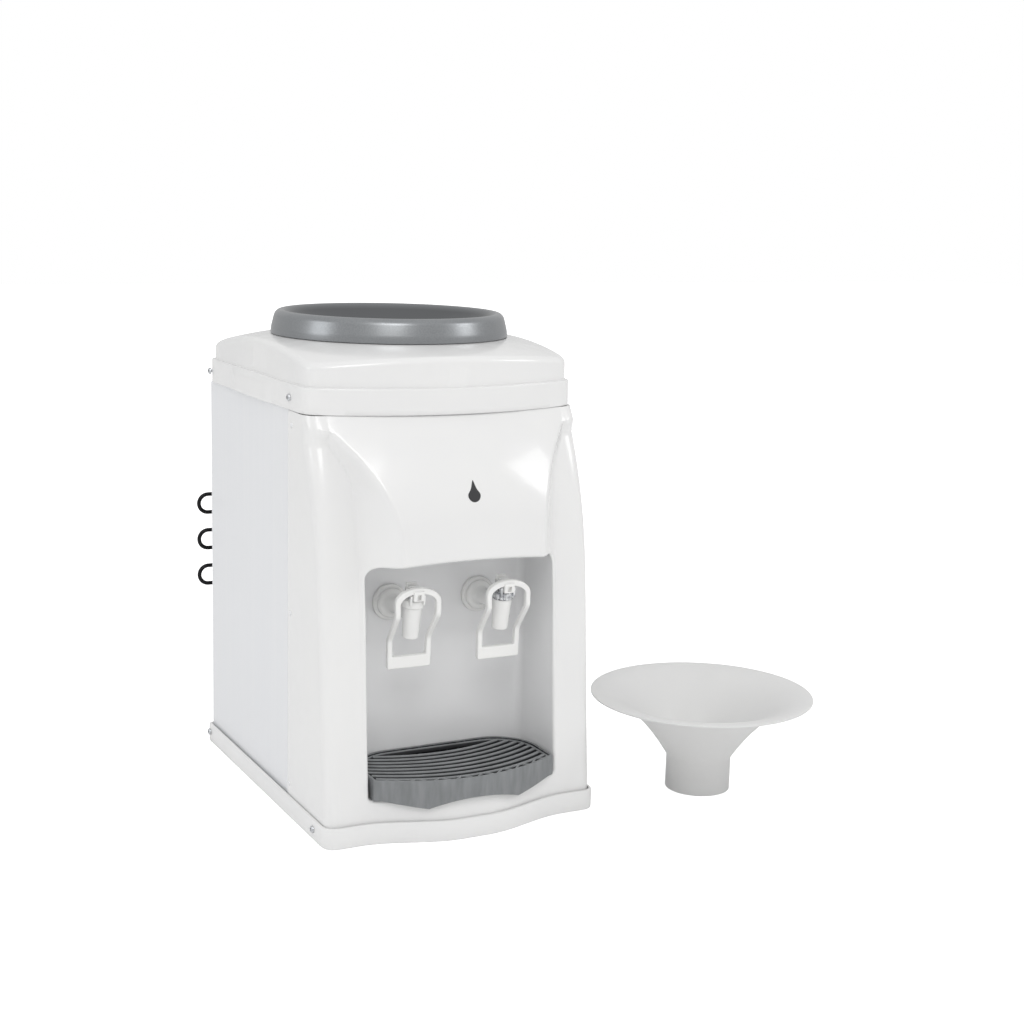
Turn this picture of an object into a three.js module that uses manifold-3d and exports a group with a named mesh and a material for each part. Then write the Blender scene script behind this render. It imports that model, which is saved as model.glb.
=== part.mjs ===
// Countertop water dispenser with a lift-off bottle funnel.
// Millimetres, +Z up, front towards -Y. The origin is the middle of the base's underside,
// on the axis of the bottle collar; the rubber feet are level with it.

import * as THREE from 'three';
import { mergeVertices } from 'three/addons/utils/BufferGeometryUtils.js';
import Module from 'manifold-3d';

const wasm = await Module();
wasm.setup();

// ---- Driving dimensions ----
const gap = 0.3; // clearance between touching pieces
const coverHalf = 155; // half the width of the top cover
const rearY = 170.6; // rear face of the cover
const counterZ = 0; // the base and its rubber feet both stand at this height

const baseTop = 22.6;
const baseProud = 3.6; // the base stands out this far past the panels
const baseWall = 3;
const panelFoot = 4; // the panels stand inside the base from this height
const bandBottom = 437.4;
const bandTop = 464.8;
const domeTop = 504.8;
const panelHalf = coverHalf - 0.6;
const shellWall = 2.4;
const seamY = -97; // where the front panel meets the side sheets

const recessHalf = 108;
const recessFloor = 45;
const recessTop = 289;
const recessArch = 4; // the recess's top edge rises this much at the middle
const recessBackY = -128;
const recessCorner = 16;
const linerWall = 2.5;

const columnFootY = -216.5; // flat outer columns of the front, at the counter
const centreFootY = -240.3; // crown of the front, at the counter
const tuckStart = 200; // above this height the columns curve back
const tuckDepth = 37;
const bibFull = 330; // above this height the crown curves back
const bibTuck = 46.6;

const collarRadius = 131.4;
const collarTop = 530.8;
const neckRadius = 77;
const tankRadius = 84.5;
const tankLowRadius = 70;
const tankFloor = 300;
const tankStep = 390;

const tapX = 52;
const tapZ = 232;
const spoutY = -188;
const spoutLean = 8 * Math.PI / 180;

const sheetOuter = 152.6; // outer face of the steel side sheets
const sheetWall = 1.2;
const rearSheetY = 168.5;

const tubeRadius = 2.38; // 3/16 inch refrigerant tube
const condenserY = 202.5;
const condenserTop = 297;
const runPitch = 21.9;
const runCount = 6;

const funnelX = 303;
const funnelY = -202;
const funnelRadius = 125;
const funnelHeight = 111;
const skirtRadius = 36.5;

// ---- Finishes ----
const finish = (color, roughness, metalness = 0) => ({ color, roughness, metalness });
const whiteGloss = finish(0xf0f0ef, 0.25);
const whiteTap = finish(0xf3f3f0, 0.3);
const greyGloss = finish(0xc6c7c8, 0.3);
const silverGrey = finish(0x8b9094, 0.32, 0.4);
const trayGrey = finish(0x7a7d80, 0.5);
const paintedSteel = finish(0xe8eaed, 0.4, 0.1);
const zinc = finish(0xb9bcc0, 0.35, 0.9);
const chrome = finish(0xdadde0, 0.12, 1);
const blackEnamel = finish(0x111213, 0.4, 0.2);
const copper = finish(0xb87345, 0.3, 1);
const milkyWhite = finish(0xf0f0f0, 0.35);
const tankWhite = finish(0xe6e8e8, 0.4);
const foam = finish(0xf4f4f2, 0.9);
const silicone = finish(0xdfe2e2, 0.5);
const rubberGrey = finish(0x2a2b2c, 0.85);
const spikeGrey = finish(0xbab8b2, 0.45);
const blackPlastic = finish(0x1b1c1d, 0.5);

// ---- Geometry helpers ----
const smooth = (edge0, edge1, value) => THREE.MathUtils.smoothstep(value, edge0, edge1);
const mix = THREE.MathUtils.lerp;

/** A closed solid from any three.js geometry whose faces close. */
function solid(geometry) {
  geometry.deleteAttribute('normal');
  geometry.deleteAttribute('uv');
  const welded = mergeVertices(geometry, 1e-4);
  const position = welded.getAttribute('position');
  const index = welded.getIndex().array;
  const corners = [];
  let volume = 0;
  for (let i = 0; i < index.length; i += 3) {
    const [a, b, c] = [index[i], index[i + 1], index[i + 2]];
    if (a === b || b === c || c === a) continue;
    corners.push(a, b, c);
    const [p, q, r] = [a, b, c].map((v) => new THREE.Vector3().fromBufferAttribute(position, v));
    volume += p.dot(q.cross(r));
  }
  if (volume < 0) corners.reverse();
  const mesh = new wasm.Mesh({
    numProp: 3,
    vertProperties: new Float32Array(position.array),
    triVerts: new Uint32Array(corners),
  });
  return new wasm.Manifold(mesh);
}

/** Side faces between rings of equal length, with a fan at each end. */
function loft(rings) {
  const count = rings[0].length;
  const vertices = rings.flat();
  const faces = [];
  for (let k = 0; k + 1 < rings.length; k += 1) {
    for (let i = 0; i < count; i += 1) {
      const a = k * count + i;
      const b = k * count + (i + 1) % count;
      faces.push(a, b, b + count, a, b + count, a + count);
    }
  }
  [0, rings.length - 1].forEach((k) => {
    const middle = new THREE.Vector3();
    rings[k].forEach((p) => middle.addScaledVector(p, 1 / count));
    vertices.push(middle);
    for (let i = 0; i < count; i += 1) {
      const edge = [k * count + i, k * count + (i + 1) % count];
      if (k === 0) edge.reverse();
      faces.push(edge[0], edge[1], vertices.length - 1);
    }
  });
  const geometry = new THREE.BufferGeometry();
  const numbers = vertices.flatMap((p) => p.toArray());
  geometry.setAttribute('position', new THREE.Float32BufferAttribute(numbers, 3));
  geometry.setIndex(faces);
  return solid(geometry);
}

/** Round tube of the given radius through a list of points. */
function tube(points, radius, sides = 8) {
  const across = new THREE.Vector3();
  const rings = points.map((point, k) => {
    const ahead = points[Math.min(k + 1, points.length - 1)];
    const behind = points[Math.max(k - 1, 0)];
    const along = ahead.clone().sub(behind).normalize();
    if (k === 0) across.set(Math.abs(along.x) < 0.8 ? 1 : 0, Math.abs(along.x) < 0.8 ? 0 : 1, 0);
    across.addScaledVector(along, -across.dot(along)).normalize();
    const other = along.clone().cross(across);
    return Array.from({ length: sides }, (_, i) => {
      const angle = 2 * Math.PI * i / sides;
      return point.clone()
        .addScaledVector(across, radius * Math.cos(angle))
        .addScaledVector(other, radius * Math.sin(angle));
    });
  });
  return loft(rings);
}

/** Points along straight legs whose corners are rounded off. */
function bentPath(corners, bend, steps = 4) {
  const points = corners.map((c) => new THREE.Vector3(...c));
  const path = [points[0]];
  for (let k = 1; k + 1 < points.length; k += 1) {
    const toward = (target) => target.clone().sub(points[k]).setLength(bend).add(points[k]);
    const curve = new THREE.QuadraticBezierCurve3(toward(points[k - 1]), points[k], toward(points[k + 1]));
    path.push(...curve.getPoints(steps));
  }
  path.push(points[points.length - 1]);
  return path;
}

const box = (x0, x1, y0, y1, z0, z1) => {
  const geometry = new THREE.BoxGeometry(x1 - x0, y1 - y0, z1 - z0);
  return solid(geometry.translate((x0 + x1) / 2, (y0 + y1) / 2, (z0 + z1) / 2));
};

const prism = (outline, depth) => new THREE.ExtrudeGeometry(
  new THREE.Shape(outline.map(([u, v]) => new THREE.Vector2(u, v))),
  { depth, bevelEnabled: false },
);

const xAxis = new THREE.Vector3(1, 0, 0);
const yAxis = new THREE.Vector3(0, 1, 0);
const zAxis = new THREE.Vector3(0, 0, 1);

/** An (x, y) outline raised from z0 to z1. */
const prismZ = (outline, z0, z1) => solid(prism(outline, z1 - z0).translate(0, 0, z0));

/** An (x, z) outline run from y0 to y1. */
const prismY = (outline, y0, y1) => {
  const turn = new THREE.Matrix4().makeBasis(xAxis, zAxis, yAxis.clone().negate());
  return solid(prism(outline, y1 - y0).applyMatrix4(turn).translate(0, y1, 0));
};

/** A (y, z) outline run from x0 to x1. */
const prismX = (outline, x0, x1) => {
  const turn = new THREE.Matrix4().makeBasis(yAxis, zAxis, xAxis);
  return solid(prism(outline, x1 - x0).applyMatrix4(turn).translate(x0, 0, 0));
};

/** A (radius, height) profile turned about Z. */
const turned = (profile, segments) => {
  const points = profile.map(([r, z]) => new THREE.Vector2(r, z));
  return solid(new THREE.LatheGeometry(points, segments).rotateX(Math.PI / 2));
};

/** The same profile repeated at its start, so that a ring closes. */
const turnedRing = (profile, segments) => turned([...profile, profile[0]], segments);

const rod = (radius, z0, z1, segments = 12) => (
  turned([[0, z0], [radius, z0], [radius, z1], [0, z1]], segments)
);
const rodX = (radius, x0, x1, y, z, segments = 8) => (
  rod(radius, x0, x1, segments).rotate([0, 90, 0]).translate([0, y, z])
);
const rodY = (radius, y0, y1, x, z, segments = 12) => (
  rod(radius, -y1, -y0, segments).rotate([90, 0, 0]).translate([x, 0, z])
);

// ---- The assembly ----
const dispenser = new THREE.Group();

function addPiece(name, shape, look, parent = dispenser) {
  const { vertProperties, triVerts } = shape.getMesh();
  const geometry = new THREE.BufferGeometry();
  geometry.setAttribute('position', new THREE.BufferAttribute(vertProperties, 3));
  geometry.setIndex(new THREE.BufferAttribute(triVerts, 1));
  geometry.computeVertexNormals();
  const mesh = new THREE.Mesh(geometry, new THREE.MeshStandardMaterial(look));
  mesh.name = name;
  parent.add(mesh);
}

const sides = [['left', -1], ['right', 1]];

// ---- Fasteners: places on the left wall, mirrored on the right ----
const coverScrews = [['rear', 162, 450], ['front', -102.6, 450.7]];
const baseScrews = [['rear', 164, 12.5], ['front', -183, 12]];
const rivets = [['top', -108, 422.6], ['middle', -105, 223], ['low', -102, 34]];
const screwHole = 2.2;
const rivetHole = 1.6;

/** Pan head on a plain shank, along +X, head face outwards. */
function screwAlongX() {
  const headRadius = 4;
  const shank = 1.8;
  const length = 9;
  return turned([[0, -length], [shank, -length], [shank, 0], [headRadius, 0],
    [headRadius * 0.8, 1.9], [0, 2.7]], 8).rotate([0, 90, 0]);
}

/** Blind rivet: low domed head and a short shank, along +X. */
function rivetAlongX() {
  return turned([[0, -5], [1.3, -5], [1.3, 0], [2.6, 0], [0, 1]], 6).rotate([0, 90, 0]);
}

function drillSide(shape, places, radius) {
  const reach = [panelHalf - 12, coverHalf + 8];
  let result = shape;
  places.forEach(([, y, z]) => {
    result = result.subtract(rodX(radius, reach[0], reach[1], y, z));
    result = result.subtract(rodX(radius, -reach[1], -reach[0], y, z));
  });
  return result;
}

// ---- Front panel: flat outer columns, a bulging crown, and a bib above the recess ----
function columnY(z) {
  const tuck = Math.max(0, (z - tuckStart) / (bandBottom - tuckStart));
  return columnFootY + 0.08 * z + tuckDepth * tuck ** 3;
}

function crownY(z) {
  const tuck = Math.max(0, (z - bibFull) / (bandBottom - bibFull));
  return centreFootY + 0.036 * z + bibTuck * tuck ** 1.8;
}

/** Share of the way from column to crown: a wide scoop low down, a bib with cut sides above. */
function crownShare(x, z) {
  const high = smooth(60, 250, z);
  const rise = Math.max(0, (z - recessTop) / (bandBottom - recessTop));
  const bibEdge = mix(15, 79, high) + 71 * rise ** 2.5;
  const columnEdge = mix(118, 114, high) + 44 * Math.max(0, 2 * rise - 1) ** 1.5;
  const cut = smooth(bibEdge, columnEdge, Math.abs(x));
  const arch = 1 - mix(0.15, 1, smooth(0, 1, rise)) * high * (x / coverHalf) ** 2;
  return arch * (1 - cut);
}

const frontY = (x, z) => mix(columnY(z), crownY(z), crownShare(x, z));

/** Plan outline of the front at height z, moved inwards by inset and closed at backY. */
function frontRing(z, inset, backY) {
  const half = panelHalf - inset;
  const corner = mix(13, 20, smooth(recessTop, bandBottom, z)) - inset;
  const steps = 30;
  const left = new THREE.Vector2(-half + corner, frontY(-half + corner, z) + inset);
  const curve = new THREE.QuadraticBezierCurve(
    new THREE.Vector2(-half, left.y + corner), new THREE.Vector2(-half, left.y), left);
  const turn = curve.getPoints(3).map((p) => [p.x, p.y]);
  const across = Array.from({ length: steps - 1 }, (_, i) => {
    const x = mix(left.x, -left.x, (i + 1) / steps);
    return [x, frontY(x, z) + inset];
  });
  const mirrored = turn.map(([x, y]) => [-x, y]).reverse();
  return [[-half, backY], ...turn, ...across, ...mirrored, [half, backY]];
}

/** The whole space behind the front surface, moved inwards by inset. */
function frontSpace(inset, backY, z0, z1) {
  const upper = Array.from({ length: 10 }, (_, i) => mix(recessTop + 6, bandBottom - 6, i / 9));
  const heights = [z0, 60, tuckStart, ...upper, z1];
  return loft(heights.map((z) => frontRing(z, inset, backY).map(([x, y]) => new THREE.Vector3(x, y, z))));
}

/** Opening of the recess in (x, z), grown outwards by the given amount. */
function recessOutline(grow) {
  const half = recessHalf + grow;
  const radius = recessCorner + grow;
  const top = recessTop + grow;
  const arc = Array.from({ length: 5 }, (_, i) => {
    const angle = Math.PI / 2 * i / 4;
    return [half - radius + radius * Math.cos(angle), top - radius + radius * Math.sin(angle)];
  });
  const flat = half - radius;
  const crest = Array.from({ length: 7 }, (_, i) => {
    const x = mix(flat, -flat, (i + 1) / 8);
    return [x, top + recessArch * (1 - (x / flat) ** 2)];
  });
  const mirrored = arc.map(([x, z]) => [-x, z]).reverse();
  return [[-half, recessFloor - grow], [half, recessFloor - grow], ...arc, ...crest, ...mirrored];
}

const panelTop = bandBottom - gap;
let frontPanel = frontSpace(0, seamY, panelFoot, panelTop)
  .subtract(frontSpace(shellWall, seamY + 20, panelFoot - 5, panelTop + 5))
  .subtract(prismY(recessOutline(0), -300, seamY));
frontPanel = drillSide(frontPanel, rivets, rivetHole);
frontPanel = drillSide(frontPanel, [baseScrews[1]], screwHole);
addPiece('front_panel', frontPanel, whiteGloss);

// ---- Recess liner: one moulding with a back wall, sides, roof and floor ----
const tailRadius = 7;
let liner = prismY(recessOutline(linerWall), -290, recessBackY + linerWall)
  .subtract(prismY(recessOutline(0), -300, recessBackY))
  .intersect(frontSpace(shellWall + gap, -100, panelFoot, panelTop));
sides.forEach(([, side]) => {
  liner = liner.subtract(rodY(tailRadius + gap, recessBackY - 5, recessBackY + 10, side * tapX, tapZ, 16));
});
addPiece('recess_liner', liner, greyGloss);

// ---- Base: a shallow pan that the panels stand in ----
function baseRing(inset) {
  const corner = 6 - inset;
  const front = frontRing(0, inset - baseProud, 0).slice(1, -1);
  const half = panelHalf + baseProud - inset;
  const back = rearY + 2 - inset;
  const rearEdge = [[half, back - corner], [half - corner, back], [-half + corner, back]];
  return [[-half, back - corner], ...front, ...rearEdge];
}

const footPlaces = [['front_left', -125, -185], ['front_right', 125, -185],
  ['rear_left', -125, 145], ['rear_right', 125, 145]];
const footRadius = 10.5;
const footFlange = 13; // the foot's flange lies on the base's floor inside

let base = prismZ(baseRing(0), 0, baseTop).subtract(prismZ(baseRing(baseWall), baseWall, baseTop + 5));
footPlaces.forEach(([, x, y]) => {
  base = base.subtract(rod(footRadius + gap, -5, 10, 20).translate([x, y, 0]));
});
base = drillSide(base, baseScrews, screwHole);
addPiece('base_tray', base, whiteGloss);

footPlaces.forEach(([place, x, y]) => {
  const foot = turned([[0, counterZ], [footRadius, counterZ], [footRadius, baseWall + gap],
    [footFlange, baseWall + gap], [footFlange, baseWall + 2], [0, baseWall + 2]], 20);
  addPiece(`foot_${place}`, foot.translate([x, y, 0]), rubberGrey);
});

// ---- Steel sheets ----
const sheetTop = bandTop - 8;
const flangeOuter = panelHalf - shellWall - gap;
sides.forEach(([name, side]) => {
  const plan = [[sheetOuter, rearSheetY], [sheetOuter, seamY + gap], [flangeOuter, seamY + gap],
    [flangeOuter, seamY - 20], [flangeOuter - sheetWall, seamY - 20], [flangeOuter - sheetWall, seamY + 2],
    [sheetOuter - sheetWall, seamY + 2], [sheetOuter - sheetWall, rearSheetY]];
  let sheet = prismZ(plan.map(([x, y]) => [side * x, y]), baseWall + gap, sheetTop);
  const coverCorner = [side * (sheetOuter - 5), side * (sheetOuter + 5)].sort((a, b) => a - b);
  sheet = sheet
    .subtract(box(...coverCorner, rearSheetY - 24, rearSheetY + 5, panelTop, bandTop))
    .subtract(box(...coverCorner, seamY - 25, seamY - 10.4, panelTop, bandTop));
  sheet = drillSide(sheet, [...rivets, coverScrews[1], baseScrews[0]], screwHole);
  addPiece(`${name}_side_panel`, sheet, paintedSteel);
});

const rearHalf = sheetOuter - sheetWall - gap;
const rearFlange = 14;
const knobPlace = [-100, 365];
const glandPlace = [-110, 60];
const pipeX = 125;
const condenserLow = condenserTop - runPitch * (runCount - 1);
let rearPanel = box(-rearHalf, rearHalf, rearSheetY - rearFlange, rearSheetY, baseWall + gap, panelTop)
  .subtract(box(-rearHalf + sheetWall, rearHalf - sheetWall, 0, rearSheetY - sheetWall, 0, bandTop));
for (let i = 0; i < 4; i += 1) {
  const z = 60 + i * 20;
  rearPanel = rearPanel.subtract(box(-60, 60, rearSheetY - 8, rearSheetY + 5, z, z + 5));
}
rearPanel = rearPanel
  .subtract(rodY(4, rearSheetY - 8, rearSheetY + 5, ...knobPlace))
  .subtract(rodY(8, rearSheetY - 8, rearSheetY + 5, ...glandPlace))
  .subtract(rodY(4, rearSheetY - 8, rearSheetY + 5, pipeX, condenserTop))
  .subtract(rodY(4, rearSheetY - 8, rearSheetY + 5, pipeX, condenserLow));
rearPanel = drillSide(rearPanel, [baseScrews[0]], screwHole + 0.8);
addPiece('rear_panel', rearPanel, paintedSteel);

// ---- Top cover: an upright band, a set-back ledge, and a dome that turns round ----
const frontSide = 145.2; // band depth at its front corners
const frontArch = 36; // further forward at the middle
const domeRadius = 128;
const domeSlope = 0.14;
const domeCurve = 0.0011;
const ledge = 3.5;

/** Height of the dome's sloping top at a distance from the collar's axis. */
function domeZ(radius) {
  const past = Math.max(0, radius - domeRadius);
  return domeTop - domeSlope * past - domeCurve * past ** 2;
}

function coverRing(z, inset, toRound, grip = 0) {
  const count = 36;
  return Array.from({ length: count }, (_, i) => {
    const even = 2 * Math.PI * (i + 0.5) / count;
    const angle = even + 0.15 * Math.sin(4 * even); // more points at the corners
    const c = Math.cos(angle);
    const s = Math.sin(angle);
    const power = mix(s > 0 ? 26 : 22, 2, toRound ** 0.35);
    const reach = (Math.abs(c) ** power + Math.abs(s) ** power) ** (-1 / power);
    const u = c * reach;
    const v = s * reach;
    const front = mix(frontSide - inset, domeRadius, toRound) + mix(frontArch, 0, toRound) * (1 - u * u);
    const y = v * (s > 0 ? mix(rearY - inset, domeRadius, toRound) : front);
    const onSide = Math.abs(u) > 0.9 ? Math.sign(u) : 0;
    const swell = grip * onSide * smooth(-60, -30, y) * (1 - smooth(62, 92, y));
    return new THREE.Vector3(u * mix(coverHalf - inset, domeRadius, toRound) + swell, y, z);
  });
}

function coverSpace(inset, drop, z0) {
  const grip = 2.5;
  const rings = [coverRing(z0, inset, 0, grip), coverRing(bandTop - 6 - drop, inset, 0, grip),
    coverRing(bandTop - drop, inset, 0), coverRing(bandTop - drop + 0.1, inset + ledge, 0)];
  const shoulder = [[0, 0, 5], [0.9, 0, 2.1], [3, 0, 0.5], [6, 0, 0], [0, 0.35, 0], [0, 0.7, 0], [0, 1, 0]];
  shoulder.forEach(([further, toRound, below]) => {
    const ring = coverRing(0, inset + ledge + further, toRound);
    rings.push(ring.map((p) => new THREE.Vector3(p.x, p.y, domeZ(Math.hypot(p.x, p.y)) - below - drop)));
  });
  return loft(rings);
}

const coverWall = coverHalf - sheetOuter - gap;
const mouthRadius = 112;
let cover = coverSpace(0, 0, bandBottom)
  .subtract(coverSpace(coverWall, 2.6, bandBottom - 5))
  .subtract(rod(mouthRadius, bandTop, domeTop + 5, 32));
cover = drillSide(cover, coverScrews, screwHole);
addPiece('top_cover', cover, whiteGloss);

const collar = turnedRing([[collarRadius, domeTop + gap], [collarRadius - 1.4, domeTop + 12],
  [collarRadius - 4.4, collarTop - 4], [collarRadius - 9, collarTop], [collarRadius - 15, collarTop - 0.6],
  [107, 520], [92, 508], [neckRadius, 500], [neckRadius, 484], [neckRadius + 2.6, 484],
  [neckRadius + 2.6, 499], [92, 505], [107, 516.5], [collarRadius - 12, collarTop - 4],
  [collarRadius - 3, domeTop + gap]], 32);
addPiece('bottle_collar', collar, silverGrey);

// ---- Water tank with its baffle, cooling coil and foam ----
const tankWall = 2.5;
const tankTop = 496;
const stubX = 35;
const stubY = -30;
const stubFoot = tankFloor - 12;
const tankFlange = 118;
const tankOutside = [[0, tankFloor], [tankLowRadius + tankWall, tankFloor],
  [tankLowRadius + tankWall, tankStep], [tankRadius + tankWall, tankStep],
  [tankRadius + tankWall, tankTop], [tankFlange, tankTop], [tankFlange, tankTop + tankWall]];
const tankInside = [[tankRadius, tankTop + tankWall], [tankRadius, tankStep + tankWall],
  [tankLowRadius, tankStep + tankWall], [tankLowRadius, tankFloor + tankWall], [0, tankFloor + tankWall]];
let tank = turned([...tankOutside, ...tankInside], 24);
sides.forEach(([, side]) => {
  tank = tank
    .add(rod(5, stubFoot, tankFloor + 1, 10).translate([side * stubX, stubY, 0]))
    .subtract(rod(3.5, stubFoot - 1, tankFloor + 5, 10).translate([side * stubX, stubY, 0]));
});
addPiece('water_tank', tank, tankWhite);

const baffleZ = tankStep + tankWall + gap;
const baffleRadius = neckRadius - 3;
const baffleRim = 4;
const baffleSheet = 2;
const baffleKnob = 14;
let baffle = turned([[0, baffleZ], [baffleRadius, baffleZ], [baffleRadius, baffleZ + baffleRim],
  [baffleRadius - 2, baffleZ + baffleRim], [baffleRadius - 2, baffleZ + baffleSheet],
  [8, baffleZ + baffleSheet], [5, baffleZ + baffleKnob], [0, baffleZ + baffleKnob]], 24);
for (let i = 0; i < 4; i += 1) {
  const flowHole = rod(6, baffleZ - 5, baffleZ + 5, 6).translate([48, 0, 0]);
  baffle = baffle.subtract(flowHole.rotate([0, 0, 90 * i]));
}
addPiece('tank_baffle', baffle, tankWhite);

const coilTube = 3.1;
const coilTurnSteps = 16;
const coilRadius = (tankLowRadius + tankWall + 0.6 + coilTube) / Math.cos(Math.PI / coilTurnSteps);
const returnRadius = coilRadius + 2 * coilTube + 0.8;
const foamInner = returnRadius + coilTube + 0.6;
const tailZ = 270;
const coilStart = 20 * Math.PI / 180;
const coilSweep = (4 * 360 + 45) * Math.PI / 180;
const onRadius = (radius, angle, z) => (
  new THREE.Vector3(radius * Math.cos(angle), radius * Math.sin(angle), z)
);
const coilSteps = Math.round(coilTurnSteps * coilSweep / (2 * Math.PI));
const windings = Array.from({ length: coilSteps + 1 }, (_, i) => (
  onRadius(coilRadius, coilStart + coilSweep * i / coilSteps, mix(308, 372, i / coilSteps))));
const coilEnd = coilStart + coilSweep + 0.22;
const coilPath = [onRadius(coilRadius, coilStart - 0.16, tailZ),
  onRadius(coilRadius, coilStart - 0.16, 298),
  onRadius(coilRadius, coilStart - 0.1, 306), ...windings,
  onRadius(returnRadius - 2, coilEnd - 0.07, 371), onRadius(returnRadius, coilEnd, 366),
  onRadius(returnRadius, coilEnd, 356), onRadius(returnRadius, coilEnd, tailZ)];
addPiece('evaporator_coil', tube(coilPath, coilTube, 5), copper);

const foamOuter = 112;
const foamFoot = 285;
const foamShell = turnedRing([[foamInner, foamFoot], [foamOuter, foamFoot],
  [foamOuter, tankStep - 1], [foamInner, tankStep - 1]], 24);
addPiece('tank_insulation', foamShell, foam);

// ---- Taps ----
const tailEnd = recessBackY + 30;

/** Turns a shape made about the spout's own axis into its place on one side. */
const leaned = (shape, side) => (
  shape.rotate([spoutLean * 180 / Math.PI, 0, 0]).translate([side * tapX, spoutY, tapZ])
);

const headFloor = 9; // top of the spout body above the inlet's centre line
const bonnetTop = 18;
const pinY = -10;
const pinZ = 22.8;
const pinRadius = 1.5;
const stemRadius = 2.4;
const bridgeTop = 28;
const chamberFloor = -6;

function tapBody(side) {
  const outer = rodY(19.5, recessBackY - 4.7, recessBackY - gap, 0, 0, 20)
    .add(rodY(16, recessBackY - 10, recessBackY - 4, 0, 0, 20))
    .add(rodY(8, spoutY, recessBackY, 0, 0, 12))
    .add(rodY(tailRadius, recessBackY - 1, tailEnd, 0, 0, 12))
    .translate([side * tapX, 0, tapZ]);
  const barrel = turned([[0, -25], [8.5, -25], [10.5, headFloor], [0, headFloor]], 16);
  const bores = rod(7.5, chamberFloor, headFloor + 1, 10)
    .add(rod(4.2, -14, 0, 10))
    .add(rod(7, -30, -12, 10));
  const inlet = rodY(4, spoutY, tailEnd + 1, side * tapX, tapZ, 8);
  return outer.add(leaned(barrel, side)).subtract(leaned(bores, side)).subtract(inlet);
}

/** Cap nut with two ears for the lever's pin. */
function tapBonnet(faceted) {
  const facets = faceted ? 10 : 16;
  let cap = turned([[0, headFloor + gap], [11, headFloor + gap], [12, headFloor + 1.2],
    [12, bonnetTop - 1.2], [11, bonnetTop], [0, bonnetTop]], facets);
  [-1, 1].forEach((ear) => {
    const inner = Math.min(ear * 6.2, ear * 8.6);
    cap = cap.add(box(inner, inner + 2.4, pinY - 2.8, pinY + 2.8, bonnetTop - 4, pinZ + 2.2));
  });
  return cap
    .subtract(rod(7.5, headFloor - 1, bonnetTop - 3, 10))
    .subtract(rod(stemRadius + 0.5, headFloor, bonnetTop + 5, 8))
    .subtract(rodX(pinRadius + 0.2, -15, 15, pinY, pinZ));
}

/** Plunger: round stem, square neck through the lever, and a crossbar that the lever lifts. */
function tapStem() {
  return rod(stemRadius, chamberFloor + 5.5, bonnetTop + 1, 10)
    .add(box(-2.6, 2.6, -2.6, 2.6, bonnetTop + 0.5, bridgeTop + 1.5))
    .add(box(-5.4, 5.4, -1.8, 1.8, bridgeTop + 1.2, bridgeTop + 3));
}

const leverHalf = 25.5;
const leverRail = 5.2;
const leverDepth = 6;
const leverTop = 33;
const leverFoot = -59;
const crossbar = 13;

/** Lever frame in the tap's upright axes: a cranked loop, a bridge over the stem and a heel. */
function tapLever() {
  const spine = [[-12.5, leverTop + 2], [-17.6, 4], [0.2, -28], [-3.3, leverFoot]];
  const back = spine.map(([y, z]) => [y + leverDepth, z]).reverse();
  const sheet = prismX([...spine, ...back], -leverHalf, leverHalf);
  const arch = (half, foot, top, rise) => {
    const crown = Array.from({ length: 9 }, (_, i) => {
      const angle = Math.PI * i / 8;
      return [half * Math.cos(angle), top - rise + rise * Math.sin(angle)];
    });
    return [[-half + 1.2, foot], [half - 1.2, foot], ...crown];
  };
  const outline = prismY(arch(leverHalf, leverFoot, leverTop, 15), -60, 60)
    .subtract(prismY(arch(leverHalf - leverRail, leverFoot + crossbar, leverTop - 5.8, 11), -61, 61));
  const bridgeFoot = bonnetTop + 1.6;
  const bridge = box(-5.8, 5.8, -15.6, 9, bridgeFoot, bridgeTop)
    .add(box(-5.8, 5.8, -15.6, -11, bridgeFoot, bridgeTop + 2))
    .add(box(-5.8, 5.8, 5.4, 9, bridgeFoot, leverTop))
    .subtract(box(-3.6, 3.6, -5.4, 5.3, 0, 40))
    .subtract(box(-2.2, 2.2, -17, -13.4, bridgeFoot + 1.4, bridgeFoot + 7.2));
  return sheet.intersect(outline).add(bridge)
    .subtract(rodX(pinRadius + gap, -10, 10, pinY, pinZ));
}

const upright = (shape, side) => shape.translate([side * tapX, spoutY, tapZ]);

sides.forEach(([name, side]) => {
  addPiece(`${name}_tap_body`, tapBody(side), whiteTap);
  addPiece(`${name}_tap_bonnet`, leaned(tapBonnet(side > 0), side), side > 0 ? chrome : whiteTap);
  addPiece(`${name}_tap_lever`, leaned(tapLever(), side), whiteTap);
  addPiece(`${name}_tap_pin`, leaned(rodX(pinRadius, -9.2, 9.2, pinY, pinZ), side), zinc);
  addPiece(`${name}_tap_stem`, leaned(tapStem(), side), whiteTap);
  const seal = rod(6.4, chamberFloor + gap, chamberFloor + 5.2, 12);
  addPiece(`${name}_tap_seal`, leaned(seal, side), silicone);
  const turns = 4;
  const springSteps = 7 * turns;
  const springPath = Array.from({ length: springSteps + 1 }, (_, i) => {
    const share = i / springSteps;
    return onRadius(4.8, 2 * Math.PI * turns * share, mix(chamberFloor + 6.2, bonnetTop - 4, share));
  });
  addPiece(`${name}_tap_spring`, leaned(tube(springPath, 0.5, 4), side), zinc);
  const nutFront = recessBackY + linerWall + gap;
  const nut = rodY(13, nutFront, nutFront + 8, side * tapX, tapZ, 6)
    .subtract(rodY(tailRadius + gap, nutFront - 1, nutFront + 9, side * tapX, tapZ, 16));
  addPiece(`${name}_tap_nut`, nut, whiteTap);
  const hosePath = bentPath([[side * tapX, tailEnd + gap, tapZ], [side * tapX, -62, tapZ],
    [side * stubX, stubY, tapZ + 22], [side * stubX, stubY, stubFoot - gap]], 14);
  addPiece(`${name}_hose`, tube(hosePath, 6.5, 8), silicone);
});

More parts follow.
